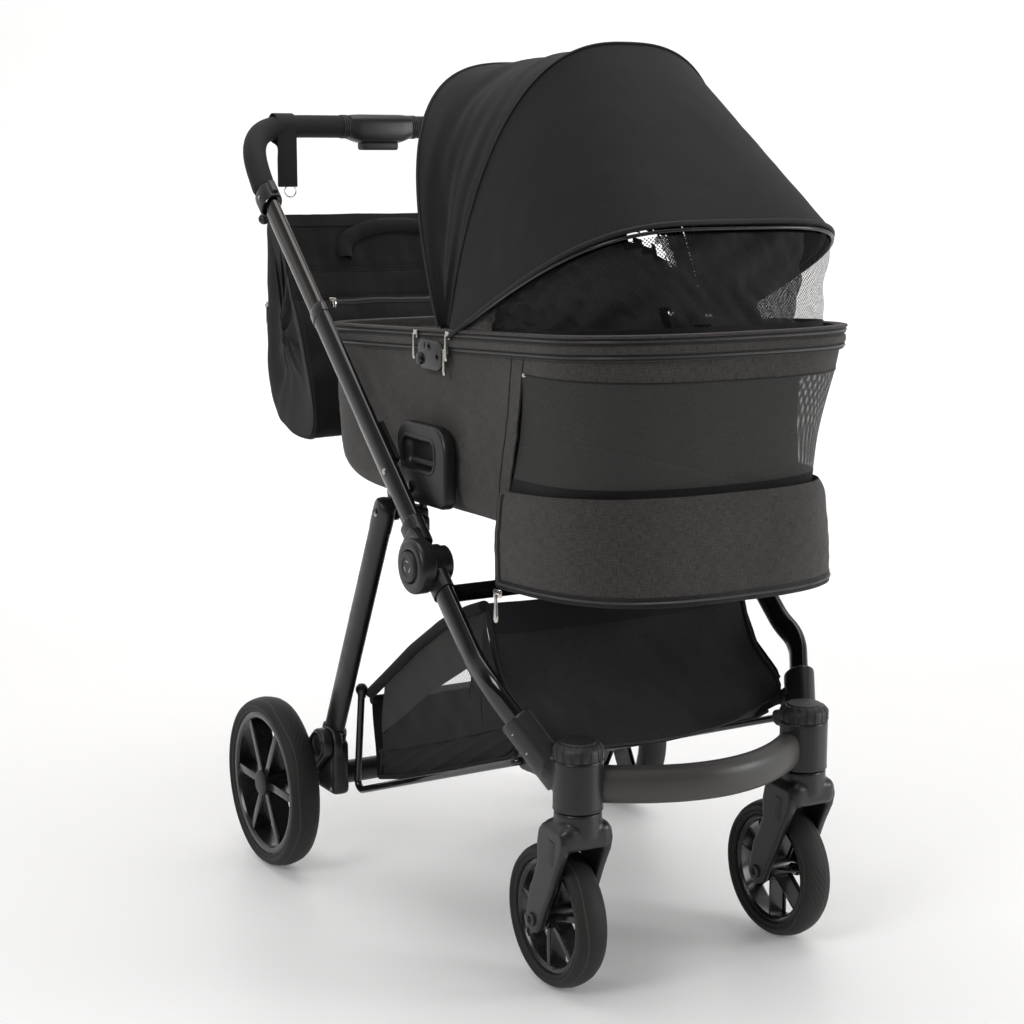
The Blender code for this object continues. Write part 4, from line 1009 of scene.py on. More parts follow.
def slider(at, outward, along, pull=0.022, width=0.0075):
    """Zip slider body with a bridge, and a long pull hanging from it."""
    outward = outward.normalized()
    along = (along - outward * along.dot(outward)).normalized()
    side = outward.cross(along)
    turn = Matrix((side, along, outward)).transposed().to_4x4()
    body = box((-width / 2, -0.0055, 0.0004), (width / 2, 0.0055, 0.0030), 0.0011, 2)
    bridge = sweep([Vector((0, y, z)) for y, z in ((-0.0040, 0.0024), (-0.0030, 0.0046), (0.0, 0.0052),
                                                   (0.0030, 0.0046), (0.0040, 0.0024))],
                   ellipse(0.0011, 0.0007, 12), Vector((1, 0, 0)))
    parts = [body, bridge]
    for mesh in parts:
        mesh.transform(Matrix.Translation(at) @ turn)
    hang = at + outward * 0.0040 + along * 0.001
    down = Vector((0, 0, -1))
    down = (down - outward * (down.dot(outward) * 0.85)).normalized()
    flat = down.cross(outward).normalized()
    pull_rows = []
    for t, half, thick in ((0.0, 0.0012, 0.0010), (0.0012, 0.0019, 0.0011), (0.005, 0.0021, 0.0011),
                           (0.010, 0.0022, 0.0012), (0.016, 0.0030, 0.0013), (0.0195, 0.0032, 0.0013),
                           (0.0215, 0.0022, 0.0010), (0.022, 0.0006, 0.0004)):
        middle = hang + down * (t * pull / 0.022)
        pull_rows.append([middle + flat * a + outward * b for a, b in ellipse(half, thick, 16, 3)])
    parts.append(grid(pull_rows, closed=True))
    return merged(*parts)


# ------------------------------------------------------------------------------ carrycot
COT_LEVELS = [(0.130, -0.030, 0.440, 0.545, 0.0), (0.166, -0.066, 0.520, 0.549, 0.1),
              (0.182, -0.090, 0.580, 0.566, 0.3), (0.189, -0.110, 0.610, 0.603, 0.6),
              (0.191, -0.126, 0.616, 0.660, 0.8), (0.197, -0.148, 0.612, 0.762, 1.0)]
WINDOW_TOP = 0.741


def plan(width, front, back, height, slope, count=320, straight=0.40):
    """Closed plan ring from the back centre over the left, the front and the right."""
    ahead = straight * (back - front) / 2
    fine = []
    for i in range(721):
        turn = math.pi / 2 + 2 * math.pi * i / 720
        c, s = math.cos(turn), math.sin(turn)
        square = 4.0 if s >= 0 else 2.6
        x = width * math.copysign(abs(c) ** (2 / square), c)
        reach = ahead * abs(s) ** (2 / square)
        y = back - ahead + reach if s >= 0 else front + ahead - reach
        fine.append(V(x, y, height + slope * (y - RIM_Y)))
    return even(fine, count)


def cot_row(t, count=320):
    """Plan ring of the carrycot's wall at a level between 0, the floor, and 5, the rim."""
    levels = [Vector((w, f, b)) for w, f, b, _, _ in COT_LEVELS]
    tops = [Vector((z, k, 0)) for _, _, _, z, k in COT_LEVELS]
    i = min(int(t), 4)

    def blendin(values):
        p0 = values[i - 1] if i else values[0] * 2 - values[1]
        p1, p2 = values[i], values[i + 1]
        p3 = values[i + 2] if i + 2 < len(values) else p2 * 2 - p1
        s = t - i
        return 0.5 * (p1 * 2 + (p2 - p0) * s + (p0 * 2 - p1 * 5 + p2 * 4 - p3) * s * s
                      + (p1 * 3 - p0 - p2 * 3 + p3) * s ** 3)
    w, f, b = blendin(levels)
    z, k, _ = blendin(tops)
    return plan(w, f, b, z, RIM_SLOPE * k, count)


def split_row(row, count_back, count_front):
    """A wall ring cut at the window's two side edges: (part round the back, part in front)."""
    for j, p in enumerate(row):
        edge = 0.036 + (0.7405 - p.z) * 0.29 + AXLE_Y
        if p.x < -0.05 and p.y <= edge:
            a, b = row[j - 1], row[j]
            cross = a.lerp(b, (a.y - edge) / (a.y - b.y))
            break
    mirror = Vector((-cross.x, cross.y, cross.z))
    half = row[:j] + [cross]
    other = [Vector((-p.x, p.y, p.z)) for p in reversed(half)]
    front = [cross] + [p for p in row[j:len(row) - j]] + [mirror]
    return even(other[:-1] + half, count_back), even(front, count_front)


def column_split(rows, height, low_count, high_count):
    """Rows cut at a height: evenly spaced rows below it and above it."""
    low, high = [], []
    for j in range(len(rows[0])):
        column = [row[j] for row in rows]
        i = next(i for i, p in enumerate(column) if p.z > height)
        a, b = column[i - 1], column[i]
        cross = a.lerp(b, (height - a.z) / (b.z - a.z))
        low.append(even(column[:i] + [cross], low_count))
        high.append(even([cross] + column[i:], high_count))
    return [list(row) for row in zip(*low)], [list(row) for row in zip(*high)]


def carrycot():
    """Shell, floor, lining, net window, rim, mattress and rear cover."""
    start = 2.55
    base_rows = [cot_row(start * i / 20) for i in range(21)]
    base_rows = rippled(base_rows, lambda p, s, t: 0.0012 * ripples(p, (0.05, 0.05, 0.03), 3.1) * s)
    floor = [[Vector((p.x * k, (p.y - AXLE_Y - 0.2) * k + AXLE_Y + 0.2, p.z - 0.0004)) for p in base_rows[0]]
             for k in (0.02, 0.35, 0.7, 0.96, 1.0)]
    wall = [split_row(cot_row(start + (5 - start) * i / 56), 300, 240) for i in range(57)]
    back = rippled([row[0] for row in wall],
                   lambda p, s, t: (0.0016 * ripples(p, (0.045, 0.07, 0.035), 7.7)
                                    + 0.0010 * ripples(p, (0.02, 0.03, 0.012), 1.3))
                   * math.sin(math.pi * min(1, s * 1.02)) ** 0.5
                   - 0.0012 * math.sin(math.pi * s))
    low, high = column_split([row[1] for row in wall], WINDOW_TOP, 48, 10)
    low = rippled(low, lambda p, s, t: 0.0010 * ripples(p, (0.05, 0.06, 0.09), 5.0) * math.sin(math.pi * s)
                  - 0.0055 * math.sin(math.pi * s))
    high = rippled(high, lambda p, s, t: 0.0007 * ripples(p, (0.03, 0.03, 0.02), 2.0))
    shells = merged(grid(base_rows), grid(back), grid(high))
    piece("cot_shell", shells, CHARCOAL, "carrycot", ["cot_shell"])
    piece("cot_floor", grid(floor), BLACK_CLOTH, "carrycot")
    window = piece("cot_window", grid(low), WINDOW_NET, "carrycot")

    inner_back = rippled(back, lambda p, s, t: -0.0050)
    inner_base = rippled(base_rows, lambda p, s, t: -0.0040)
    inner_high = rippled(high, lambda p, s, t: -0.0030)
    lining = merged(grid(inner_back), grid(inner_base[3:]), grid(inner_high))
    piece("cot_lining", lining, LINING, "carrycot")

    at_back, wide_back, tall_back = cloth(back)
    at_high, wide_high, _ = cloth(high)
    at_low, wide_low, _ = cloth(low)
    seams, beads = [], []
    for edge, sign in ((0.0, 1), (wide_back, -1)):
        for off in (0.0015, 0.0270):
            seams.append(ribbon(at_back, [(edge + sign * off, 0.01), (edge + sign * off, tall_back - 0.002)],
                                bead_profile(0.0009, 0.0001)))
    for v in (0.0012,):
        beads.append(ribbon(at_high, [(0.004, v), (wide_high - 0.004, v)], bead_profile(0.0011, 0.0001)))
    piece("cot_seams", merged(*seams, *beads), PIPING, "carrycot")
    stops = []
    for u in (0.004, wide_high - 0.004):
        p = lifted(at_high, u, 0.001, 0.0006)
        stops.append(lathe([(0, 0.0016), (0.0022, 0.0012), (0.0030, 0), (0.0030, -0.001)],
                           Vector((0, 0, 0)), "X", 20))
        stops[-1].transform(Matrix.Translation(p) @ Matrix.Rotation(0 if p.x > 0 else math.pi, 4, "Z"))
    piece("cot_window_stops", merged(*stops), CHROME, "carrycot")
    declared(window, low)
    piece("cot_window_hem", ribbon(at_low, [(0.002, 0.016), (wide_low - 0.002, 0.016)],
                                   tape_profile(0.0120, 0.0006)), BLACK_CLOTH, "carrycot")

    blind = []
    for row in low:
        part = [p for p in row if p.x > 0 and p.y - AXLE_Y > 0.100 * (p.z - 0.594) - 0.012]
        blind.append(even(part, 60))
    blind = rippled(blind, lambda p, s, t: -0.0060 + 0.0015 * ripples(p, (0.03, 0.03, 0.05), 6.1))
    piece("cot_blind", grid(blind), LINING, "carrycot")

    def ring(grow, height, count=400):
        return plan(COT_W + grow, COT_FRONT - grow, COT_BACK + grow, RIM_Z + height, RIM_SLOPE, count)

    def band(name, profile, mat, sharp=40):
        rows = [ring(g, z) for g, z in profile]
        return piece(name, grid(rows), mat, "carrycot", sharp=sharp)

    def half_round(grow, height, radius):
        return [(grow + radius * math.cos(math.radians(a)), height + radius * math.sin(math.radians(a)))
                for a in range(-90, 91, 30)]
    band("rim_band", [(0.0005, -0.0085), (0.0022, -0.0082), (0.0030, -0.0010), (0.0046, 0.0002),
                      (0.0052, 0.0030), (0.0050, 0.0078), (0.0036, 0.0090), (0.0030, 0.0096),
                      (0.0036, 0.0104), (0.0040, 0.0176)], CHARCOAL)
    frame_rim = band("cot_rim", [(0.0040, 0.0172), (0.0060, 0.0176), (0.0066, 0.0192), (0.0060, 0.0206),
                                 (0.0030, 0.0214), (-0.0040, 0.0212), (-0.0068, 0.0200),
                                 (-0.0072, 0.0170), (-0.0068, 0.0020), (-0.0055, -0.002)],
                     CHARCOAL)
    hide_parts("cot_rim")
    band("rim_zip_tapes", [(0.0030, -0.0070), (0.0036, -0.0068), (0.0040, -0.0012), (0.0034, -0.0010)],
         TAPE)
    band("rim_zip_tape_upper", [(0.0042, 0.0108), (0.0048, 0.0110), (0.0050, 0.0168), (0.0044, 0.0172)],
         TAPE)
    band("rim_zip_coil", half_round(0.0036, -0.0040, 0.0014), COIL)
    band("rim_zip_coil_upper", half_round(0.0046, 0.0140, 0.0014), COIL)
    pulls = []
    for side in (-1, 1):
        for y, z, off in ((0.287, 0.0140, 0.0056), (0.202, 0.0140, 0.0056), (0.208, -0.0040, 0.0050)):
            p = V(side * (COT_W + off), y, RIM_Z + z + RIM_SLOPE * (y - RIM_Y))
            pulls.append(slider(p, Vector((side, 0, 0)), Vector((0, 1, 0)), 0.032, 0.0100))
    piece("rim_zip_pulls", merged(*pulls), CHROME, "carrycot")

    pad = []
    for w, f, b, z in ((0.100, 0.0, 0.400, 0.5505), (0.128, -0.026, 0.430, 0.5515),
                       (0.152, -0.048, 0.468, 0.557), (0.162, -0.064, 0.490, 0.566),
                       (0.166, -0.072, 0.506, 0.576), (0.160, -0.066, 0.500, 0.5835),
                       (0.145, -0.052, 0.484, 0.5862), (0.110, -0.016, 0.446, 0.5878),
                       (0.060, 0.050, 0.36, 0.5885), (0.004, 0.18, 0.22, 0.5888)):
        pad.append(plan(w, f, b, z, 0.0, 200))
    pad = rippled(pad, lambda p, s, t: 0.0016 * ripples(p, (0.03, 0.03, 0.02), 9.0)
                  - 0.0016 * (1 - abs(math.sin(math.pi * (p.x / 0.11 + 0.5)))) ** 6)
    mattress = piece("mattress", grid(pad), MATTRESS_CLOTH, "carrycot", ["mattress"])

    cover = []
    for k in range(25):
        s = k / 24
        grow = -0.0125 - 0.178 * s ** 1.05
        cover.append(plan(COT_W + grow, 0.262 + 0.125 * s, COT_BACK - 0.0125 - 0.150 * s, RIM_Z + 0.007,
                          RIM_SLOPE, 260, 0.9))
    cover = rippled(cover, lambda p, s, t: (0.0030 * ripples(p, (0.020, 0.10, 1), 4.0)
                                           + 0.0016 * ripples(p, (0.008, 0.05, 1), 2.0))
                    * math.sin(math.pi * min(1, 0.05 + s)) + 0.001)
    lid = piece("rear_cover", grid(cover), BLACK_CLOTH, "carrycot", ["rear_cover"])
    declared(lid, cover)
    flap_panel()
    cot_mounts()


def flap_panel():
    """Front flap with its zip and pulls."""
    def edge(t, count=260):
        """Plan line of the flap at a share t of its height, from the right end round the front."""
        tuck = max(0.0, 1 - t / 0.15) ** 2
        w = 0.2000 + 0.0015 * t - 0.0050 * tuck
        front, z, lean = -0.1275 - 0.0165 * t + 0.0080 * tuck, 0.592 - 0.115 * t, -0.055 + 0.028 * t
        fine = []
        for i in range(361):
            turn = math.pi * i / 360
            x = -w * math.copysign(abs(math.cos(turn)) ** (2 / 3.0), math.cos(turn))
            y = 0.088 - (0.088 - front) * math.sin(turn) ** (2 / 3.0)
            fine.append(V(-x, y, z + lean * (y - RIM_Y)))
        return even(fine, count)
    rows = [edge(i / 40) for i in range(41)]
    rows = rippled(rows, lambda p, s, t: (0.0022 * ripples(p, (0.055, 0.06, 0.050), 6.0)
                                          + 0.0009 * ripples(p, (0.018, 0.02, 0.012), 8.0)
                                          + 0.0020 * math.sin(math.pi * s)) * min(1.0, 0.3 + 2 * s))
    at, wide, tall = cloth(rows)
    radius = 0.009
    points = []
    for i in range(41):
        v = tall * i / 40
        into = max(0.0, v - (tall - radius))
        inset = radius - math.sqrt(max(0.0, radius ** 2 - into ** 2))
        points.append([at(inset + (wide - 2 * inset) * j / 300, v) for j in range(301)])
    flap = piece("front_flap", grid(points), CHARCOAL, "carrycot",
                 ["front_flap"])
    corner = [(radius * (1 - math.cos(math.radians(a))), tall - radius + radius * math.sin(math.radians(a)))
              for a in range(0, 91, 15)]
    off = 0.0065
    path = [(off, 0.004)] + [(u + off * math.cos(math.radians(a)), v - off * math.sin(math.radians(a)))
                             for (u, v), a in zip(corner, range(0, 91, 15))]
    path += [(wide - u, v) for u, v in reversed(path)]
    tape, coil = zip_on(at, path, 0.0060, 0.0016)
    zips = [piece("flap_zip_tape", tape, TAPE, "carrycot"),
            piece("flap_zip_coil", coil, COIL, "carrycot")]
    pulls = []
    for u, side in ((0.010, 1), (wide - 0.010, -1)):
        p = lifted(at, u, tall + 0.006, 0.0010)
        pulls.append(slider(p, Vector((side, -0.6, 0)), Vector((0, 1, 0)), 0.036, 0.0100))
    zips.append(piece("flap_zip_pulls", merged(*pulls), CHROME, "carrycot"))
    declared(flap, points)


def cot_mounts():
    """Mounting housings at the sides of the carrycot, with ring and button."""
    outline = (arc(0.302, 0.632, 0.028, -10, 90, 10) + arc(0.232, 0.626, 0.034, 90, 180, 10)
               + arc(0.212, 0.571, 0.014, 180, 270, 8) + arc(0.298, 0.567, 0.010, 270, 350, 6))
    body = slab(outline, 0.1945, 0.2118, 0.0045, 5)
    window = box(V(0.1985, 0.2280, 0.6020), V(0.2400, 0.3120, 0.6400), 0.011, 4)
    slot = box(V(0.1985, 0.2640, 0.5300), V(0.2090, 0.2790, 0.5770))
    body = cut(body, window, slot)

    def loop_line(grow, y0=0.2280, y1=0.3120, z0=0.6020, z1=0.6400, r=0.013):
        y0, y1, z0, z1, r = y0 - grow, y1 + grow, z0 - grow, z1 + grow, r + grow
        return (arc(y1 - r, z1 - r, r, 0, 90, 6) + arc(y0 + r, z1 - r, r, 90, 180, 6)
                + arc(y0 + r, z0 + r, r, 180, 270, 6) + arc(y1 - r, z0 + r, r, 270, 360, 6))
    ring_rows = [[V(x, y, z) for y, z in loop_line(grow)]
                 for x, grow in ((0.2110, 0.0008), (0.2128, 0.0012), (0.2134, 0.0030), (0.2128, 0.0048),
                                 (0.2110, 0.0056))]
    ring = grid(ring_rows, closed=True)
    button = lathe([(0, 0.2142), (0.0060, 0.2142), (0.0076, 0.2134), (0.0080, 0.2110)],
                   V(0, 0.2900, 0.5760), "X", 40)
    pair("cot_mount", body, PLASTIC, "carrycot", ["cot_mount_{}"])
    pair("cot_mount_ring", ring, PLASTIC, "carrycot")
    pair("cot_mount_button", button, GLOSS_PLASTIC, "carrycot")
    for word in SIDES:
        polish(f"release_lever_{word}", SOFT_PLASTIC, 0.0012)


# ------------------------------------------------------------------------------ hood
def arch(degrees, reach, width, square, low, count=200):
    """A bow's superellipse arch from -X to +X, standing on the hood hinge."""
    lean = math.radians(degrees)
    start = math.asin((low / reach) ** (square / 2))
    fine = []
    for i in range(721):
        turn = start + (math.pi - 2 * start) * i / 720
        x = -width * math.copysign(abs(math.cos(turn)) ** (2 / square), math.cos(turn))
        r = reach * math.sin(turn) ** (2 / square)
        fine.append(V(x, HINGE_Y - r * math.cos(lean), HINGE_Z + r * math.sin(lean)))
    return even(fine, count)


def between(first, last, count, bulge):
    """Rows from one arch to the next, slightly fuller than straight lines in the middle."""
    hinge = V(0, HINGE_Y, HINGE_Z)
    rows = []
    for i in range(count + 1):
        t = i / count
        row = []
        for a, b in zip(first, last):
            p = a.lerp(b, t)
            arm = Vector((p.x * 0.15, p.y - hinge.y, p.z - hinge.z))
            row.append(p + arm * (bulge * math.sin(math.pi * t) * min(1.0, arm.length / 0.1)))
        rows.append(row)
    return rows


def blended(name, rows, mat, toward_last, replaces):
    """Cloth from rows, on no body; weights from one bow to the other are worked out and not used.
    """
    obj = piece(name, grid(rows), mat, None, replaces)
    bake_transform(obj)
    weights = []
    for i in range(len(rows)):
        t = i / (len(rows) - 1)
        weights += [t if toward_last else 1 - t] * len(rows[0])
    return obj


# Slot beside the rear curtain: middle x and z, half width and half height of its parts.
BACK_GAPS = ((0.118, 0.890, 0.014, 0.006), (0.140, 0.885, 0.014, 0.009), (0.158, 0.873, 0.011, 0.013),
             (0.167, 0.860, 0.006, 0.010), (0.147, 0.778, 0.004, 0.011))
# The same gaps in the visor's curtain: first and last column, first and last row.
CURTAIN_GAPS = ((58, 66, 38, 40), (62, 73, 36, 40), (68, 76, 33, 37), (72, 77, 30, 34),
                (71, 74, 4, 11), (72, 76, 2, 5), (83, 88, 2, 4))


def hood():
    """Front and rear panels, bows, piping and back curtain, and the visor under them."""
    front_edge = arch(BOW_FRONT, 0.372, 0.203, 4.2, 0.026)
    mid = arch(BOW_MID, 0.377, 0.196, 2.6, 0.024)
    rear_edge = arch(BOW_REAR + 2, 0.378, 0.203, 3.0, 0.024)
    front = between(front_edge, mid, 36, 0.004)
    front = rippled(front, lambda p, s, t: (0.0012 * ripples(p, (0.09, 0.10, 0.09), 2.0)
                                            + 0.0006 * ripples(p, (0.03, 0.03, 0.03), 5.0))
                    * math.sin(math.pi * s) ** 0.5)
    rear = between(mid, rear_edge, 36, 0.004)
    rear = rippled(rear, lambda p, s, t: (0.0070 * noise.noise(Vector((s * 3.2, t * 7.0, 1.5)))
                                          + 0.0026 * noise.noise(Vector((s * 9.0, t * 13.0, 4.5)))
                                          - 0.0050 * math.sin(math.pi * s))
                   * math.sin(math.pi * s) ** 0.7)
    panels = [blended("hood_front", front, HOOD_CLOTH, False,
                      ["hood_front"]),
              blended("hood_rear", rear, HOOD_CLOTH, False,
                      ["hood_rear"])]
    for panel, rows in zip(panels, (front, rear)):
        declared(panel, rows)

    def edge_roll(name, degrees, reach, width, square, low, radius, mat, body):
        line = arch(degrees, reach, width, square, low, 260)
        return piece(name, sweep(line, ellipse(radius, radius, 16), Vector((0, 0, 1))), mat, body)
    edge_roll("hood_front_piping", 24.5, 0.3730, 0.2040, 4.2, 0.022, 0.0030, PIPING, "hood_visor")
    edge_roll("hood_front_piping_inner", 23.4, 0.3715, 0.2030, 4.2, 0.022, 0.0022, GLOSS_PLASTIC,
              "hood_visor")
    edge_roll("hood_middle_seam", BOW_MID, 0.3778, 0.1965, 2.6, 0.022, 0.0017, PIPING,
              "hood_middle")
    edge_roll("hood_rear_piping", BOW_REAR + 2.3, 0.3788, 0.2036, 3.0, 0.022, 0.0024, PIPING,
              "carrycot")
    for name, angle, reach, width, square, low in (
            ("front_bow", BOW_FRONT, 0.3640, 0.1965, 4.2, 0.030),
            ("middle_bow", BOW_MID, 0.3690, 0.1890, 2.6, 0.030)):
        line = arch(angle, reach, width, square, low, 220)
        body = "hood_visor" if name == "front_bow" else "hood_middle"
        piece(name, sweep(line, ellipse(0.0030, 0.0030, 16), Vector((0, 0, 1))), BLACK_CLOTH, body,
              [name])

    back = arch(BOW_REAR + 2.8, 0.3755, 0.2005, 3.0, 0.024)
    lean = math.radians(BOW_REAR + 2.8)
    rows = []
    for i in range(41):
        row = []
        for p in back:
            reach = (p.z - HINGE_Z) / math.sin(lean)
            r = 0.004 + (reach - 0.004) * i / 40
            row.append(V(p.x, HINGE_Y - r * math.cos(lean), HINGE_Z + r * math.sin(lean)))
        rows.append(row)
    rows = rippled(rows, lambda p, s, t: (0.0060 * noise.noise(Vector((t * 22.0, s * 2.0, 3.3)))
                                          + 0.0020 * noise.noise(Vector((t * 60.0, s * 3.0, 7.3))))
                   * math.sin(math.pi * s))
    curtain = grid(rows)
    form = bmesh.new()
    form.from_mesh(curtain)
    openings = [face for face in form.faces if any(
        abs(face.calc_center_median().x - x) < w and abs(face.calc_center_median().z - z) < h
        for x, z, w, h in BACK_GAPS)]
    bmesh.ops.delete(form, geom=openings, context="FACES")
    form.to_mesh(curtain)
    form.free()
    rear_wall = piece("hood_back", curtain, HOOD_CLOTH, "carrycot",
                      ["hood_back"])
    visor()


def visor():
    """Net between the front bow and the rim, its inner curtain with openings, and the side gussets."""
    top = arch(BOW_FRONT - 2.2, 0.3690, 0.1990, 4.2, 0.110)
    bottom = []
    for i in range(361):
        turn = math.pi * i / 360
        x = -0.1965 * math.copysign(abs(math.cos(turn)) ** (2 / 2.6), math.cos(turn))
        y = 0.112 - (0.112 + 0.142) * math.sin(turn) ** (2 / 2.6)
        bottom.append(V(x, y, RIM_Z + 0.0205 + RIM_SLOPE * (y - RIM_Y)))
    bottom = even(bottom, 200)
    rows = [[a.lerp(b, i / 30) for a, b in zip(bottom, top)] for i in range(31)]
    rows = rippled(rows, lambda p, s, t: (0.0060 * noise.noise(Vector((t * 9.0, s * 2.2, 3.0)))
                                          + 0.0022 * noise.noise(Vector((t * 26.0, s * 3.5, 8.0))))
                   * math.sin(math.pi * s) ** 0.8)
    net_piece = piece("mesh_visor", grid(rows), VISOR_NET, "hood_visor", ["mesh_visor"])
    _, wide, tall = cloth(rows)
    declared(net_piece, rows)
    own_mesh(net_piece)
    hem = ribbon(cloth(rows)[0], [(0.0, tall * 0.02), (wide, tall * 0.02)], tape_profile(0.0045, 0.0009))
    piece("visor_hem", hem, BLACK_CLOTH, "hood_visor")

    folds = [[a.lerp(b, i / 40) for a, b in zip(bottom[:128], top[:128])] for i in range(41)]
    folds = rippled(folds, lambda p, s, t: -0.016
                    + 0.0150 * noise.noise(Vector((t * 9.0 - s * 2.5, s * 1.6, 5.0)))
                    + 0.0070 * noise.noise(Vector((t * 24.0 + s * 4.0, s * 3.0, 2.0)))
                    + 0.0020 * noise.noise(Vector((t * 60.0, s * 9.0, 9.0))))
    mesh = grid(folds)
    form = bmesh.new()
    form.from_mesh(mesh)
    form.faces.ensure_lookup_table()
    openings = {i * 127 + j for j0, j1, i0, i1 in CURTAIN_GAPS for i in range(i0, i1) for j in range(j0, j1)}
    bmesh.ops.delete(form, geom=[form.faces[k] for k in openings], context="FACES")
    form.to_mesh(mesh)
    form.free()
    curtain = piece("visor_curtain", mesh, CURTAIN_NET, "hood_visor")
    declared(curtain, folds)
    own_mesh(curtain)

    high = [V(-0.2035 + 0.0006 * k, HINGE_Y - r * math.cos(math.radians(24)),
              HINGE_Z + r * math.sin(math.radians(24)))
            for k, r in enumerate([0.022 + 0.105 * i / 24 for i in range(25)])]
    low = [V(-0.2010, 0.200 - 0.098 * i / 24, RIM_Z + 0.0200 + RIM_SLOPE * (0.0 - 0.098 * i / 24))
           for i in range(25)]
    gusset = [[a.lerp(b, i / 24) for a, b in zip(even(low, 60), even(high, 60))] for i in range(25)]
    gusset = rippled(gusset, lambda p, s, t: (0.0030 * noise.noise(Vector((s * 5.0 + t * 4.0, t * 3.0, 2.0)))
                                              + 0.0012 * noise.noise(Vector((s * 12.0, t * 10.0, 6.0))))
                     * math.sin(math.pi * min(1, 0.08 + s)))
    for word, side in SIDES.items():
        mesh = flipped(grid(gusset), -side)
        obj = piece(f"hood_gusset_{word}", mesh, CHARCOAL, "hood_visor")
        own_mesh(obj)
        declared(obj, gusset)


def hinge_plates():
    """Plates at the hood hinge."""
    outline = (arc(0.264, 0.7545, 0.0135, -20, 90, 10) + arc(0.2265, 0.7520, 0.0145, 90, 180, 8)
               + arc(0.2275, 0.7450, 0.0150, 180, 275, 8) + arc(0.262, 0.7440, 0.0140, 265, 340, 6))
    plate = slab(outline, 0.2036, 0.2072, 0.0014, 3)
    lobe = lathe([(0, 0.2110), (0.0050, 0.2108), (0.0072, 0.2098), (0.0080, 0.2072), (0.0080, 0.2060)],
                 V(0, 0.270, 0.7420), "X", 36)
    slot = box(V(0.2060, 0.2560, 0.7560), V(0.2100, 0.2600, 0.7640), 0.0016, 2)
    rivets = [lathe([(0, 0.2096), (0.0026, 0.2093), (0.0040, 0.2084), (0.0042, 0.2068)], V(0, y, z), "X", 28)
              for y, z in ((0.2480, 0.7590), (0.2270, 0.7470))]
    pair("hood_hinge", merged(cut(plate, slot), lobe), GLOSS_PLASTIC, "carrycot")
    pair("hood_hinge_rivets", merged(*rivets), BLACK_CHROME, "carrycot")


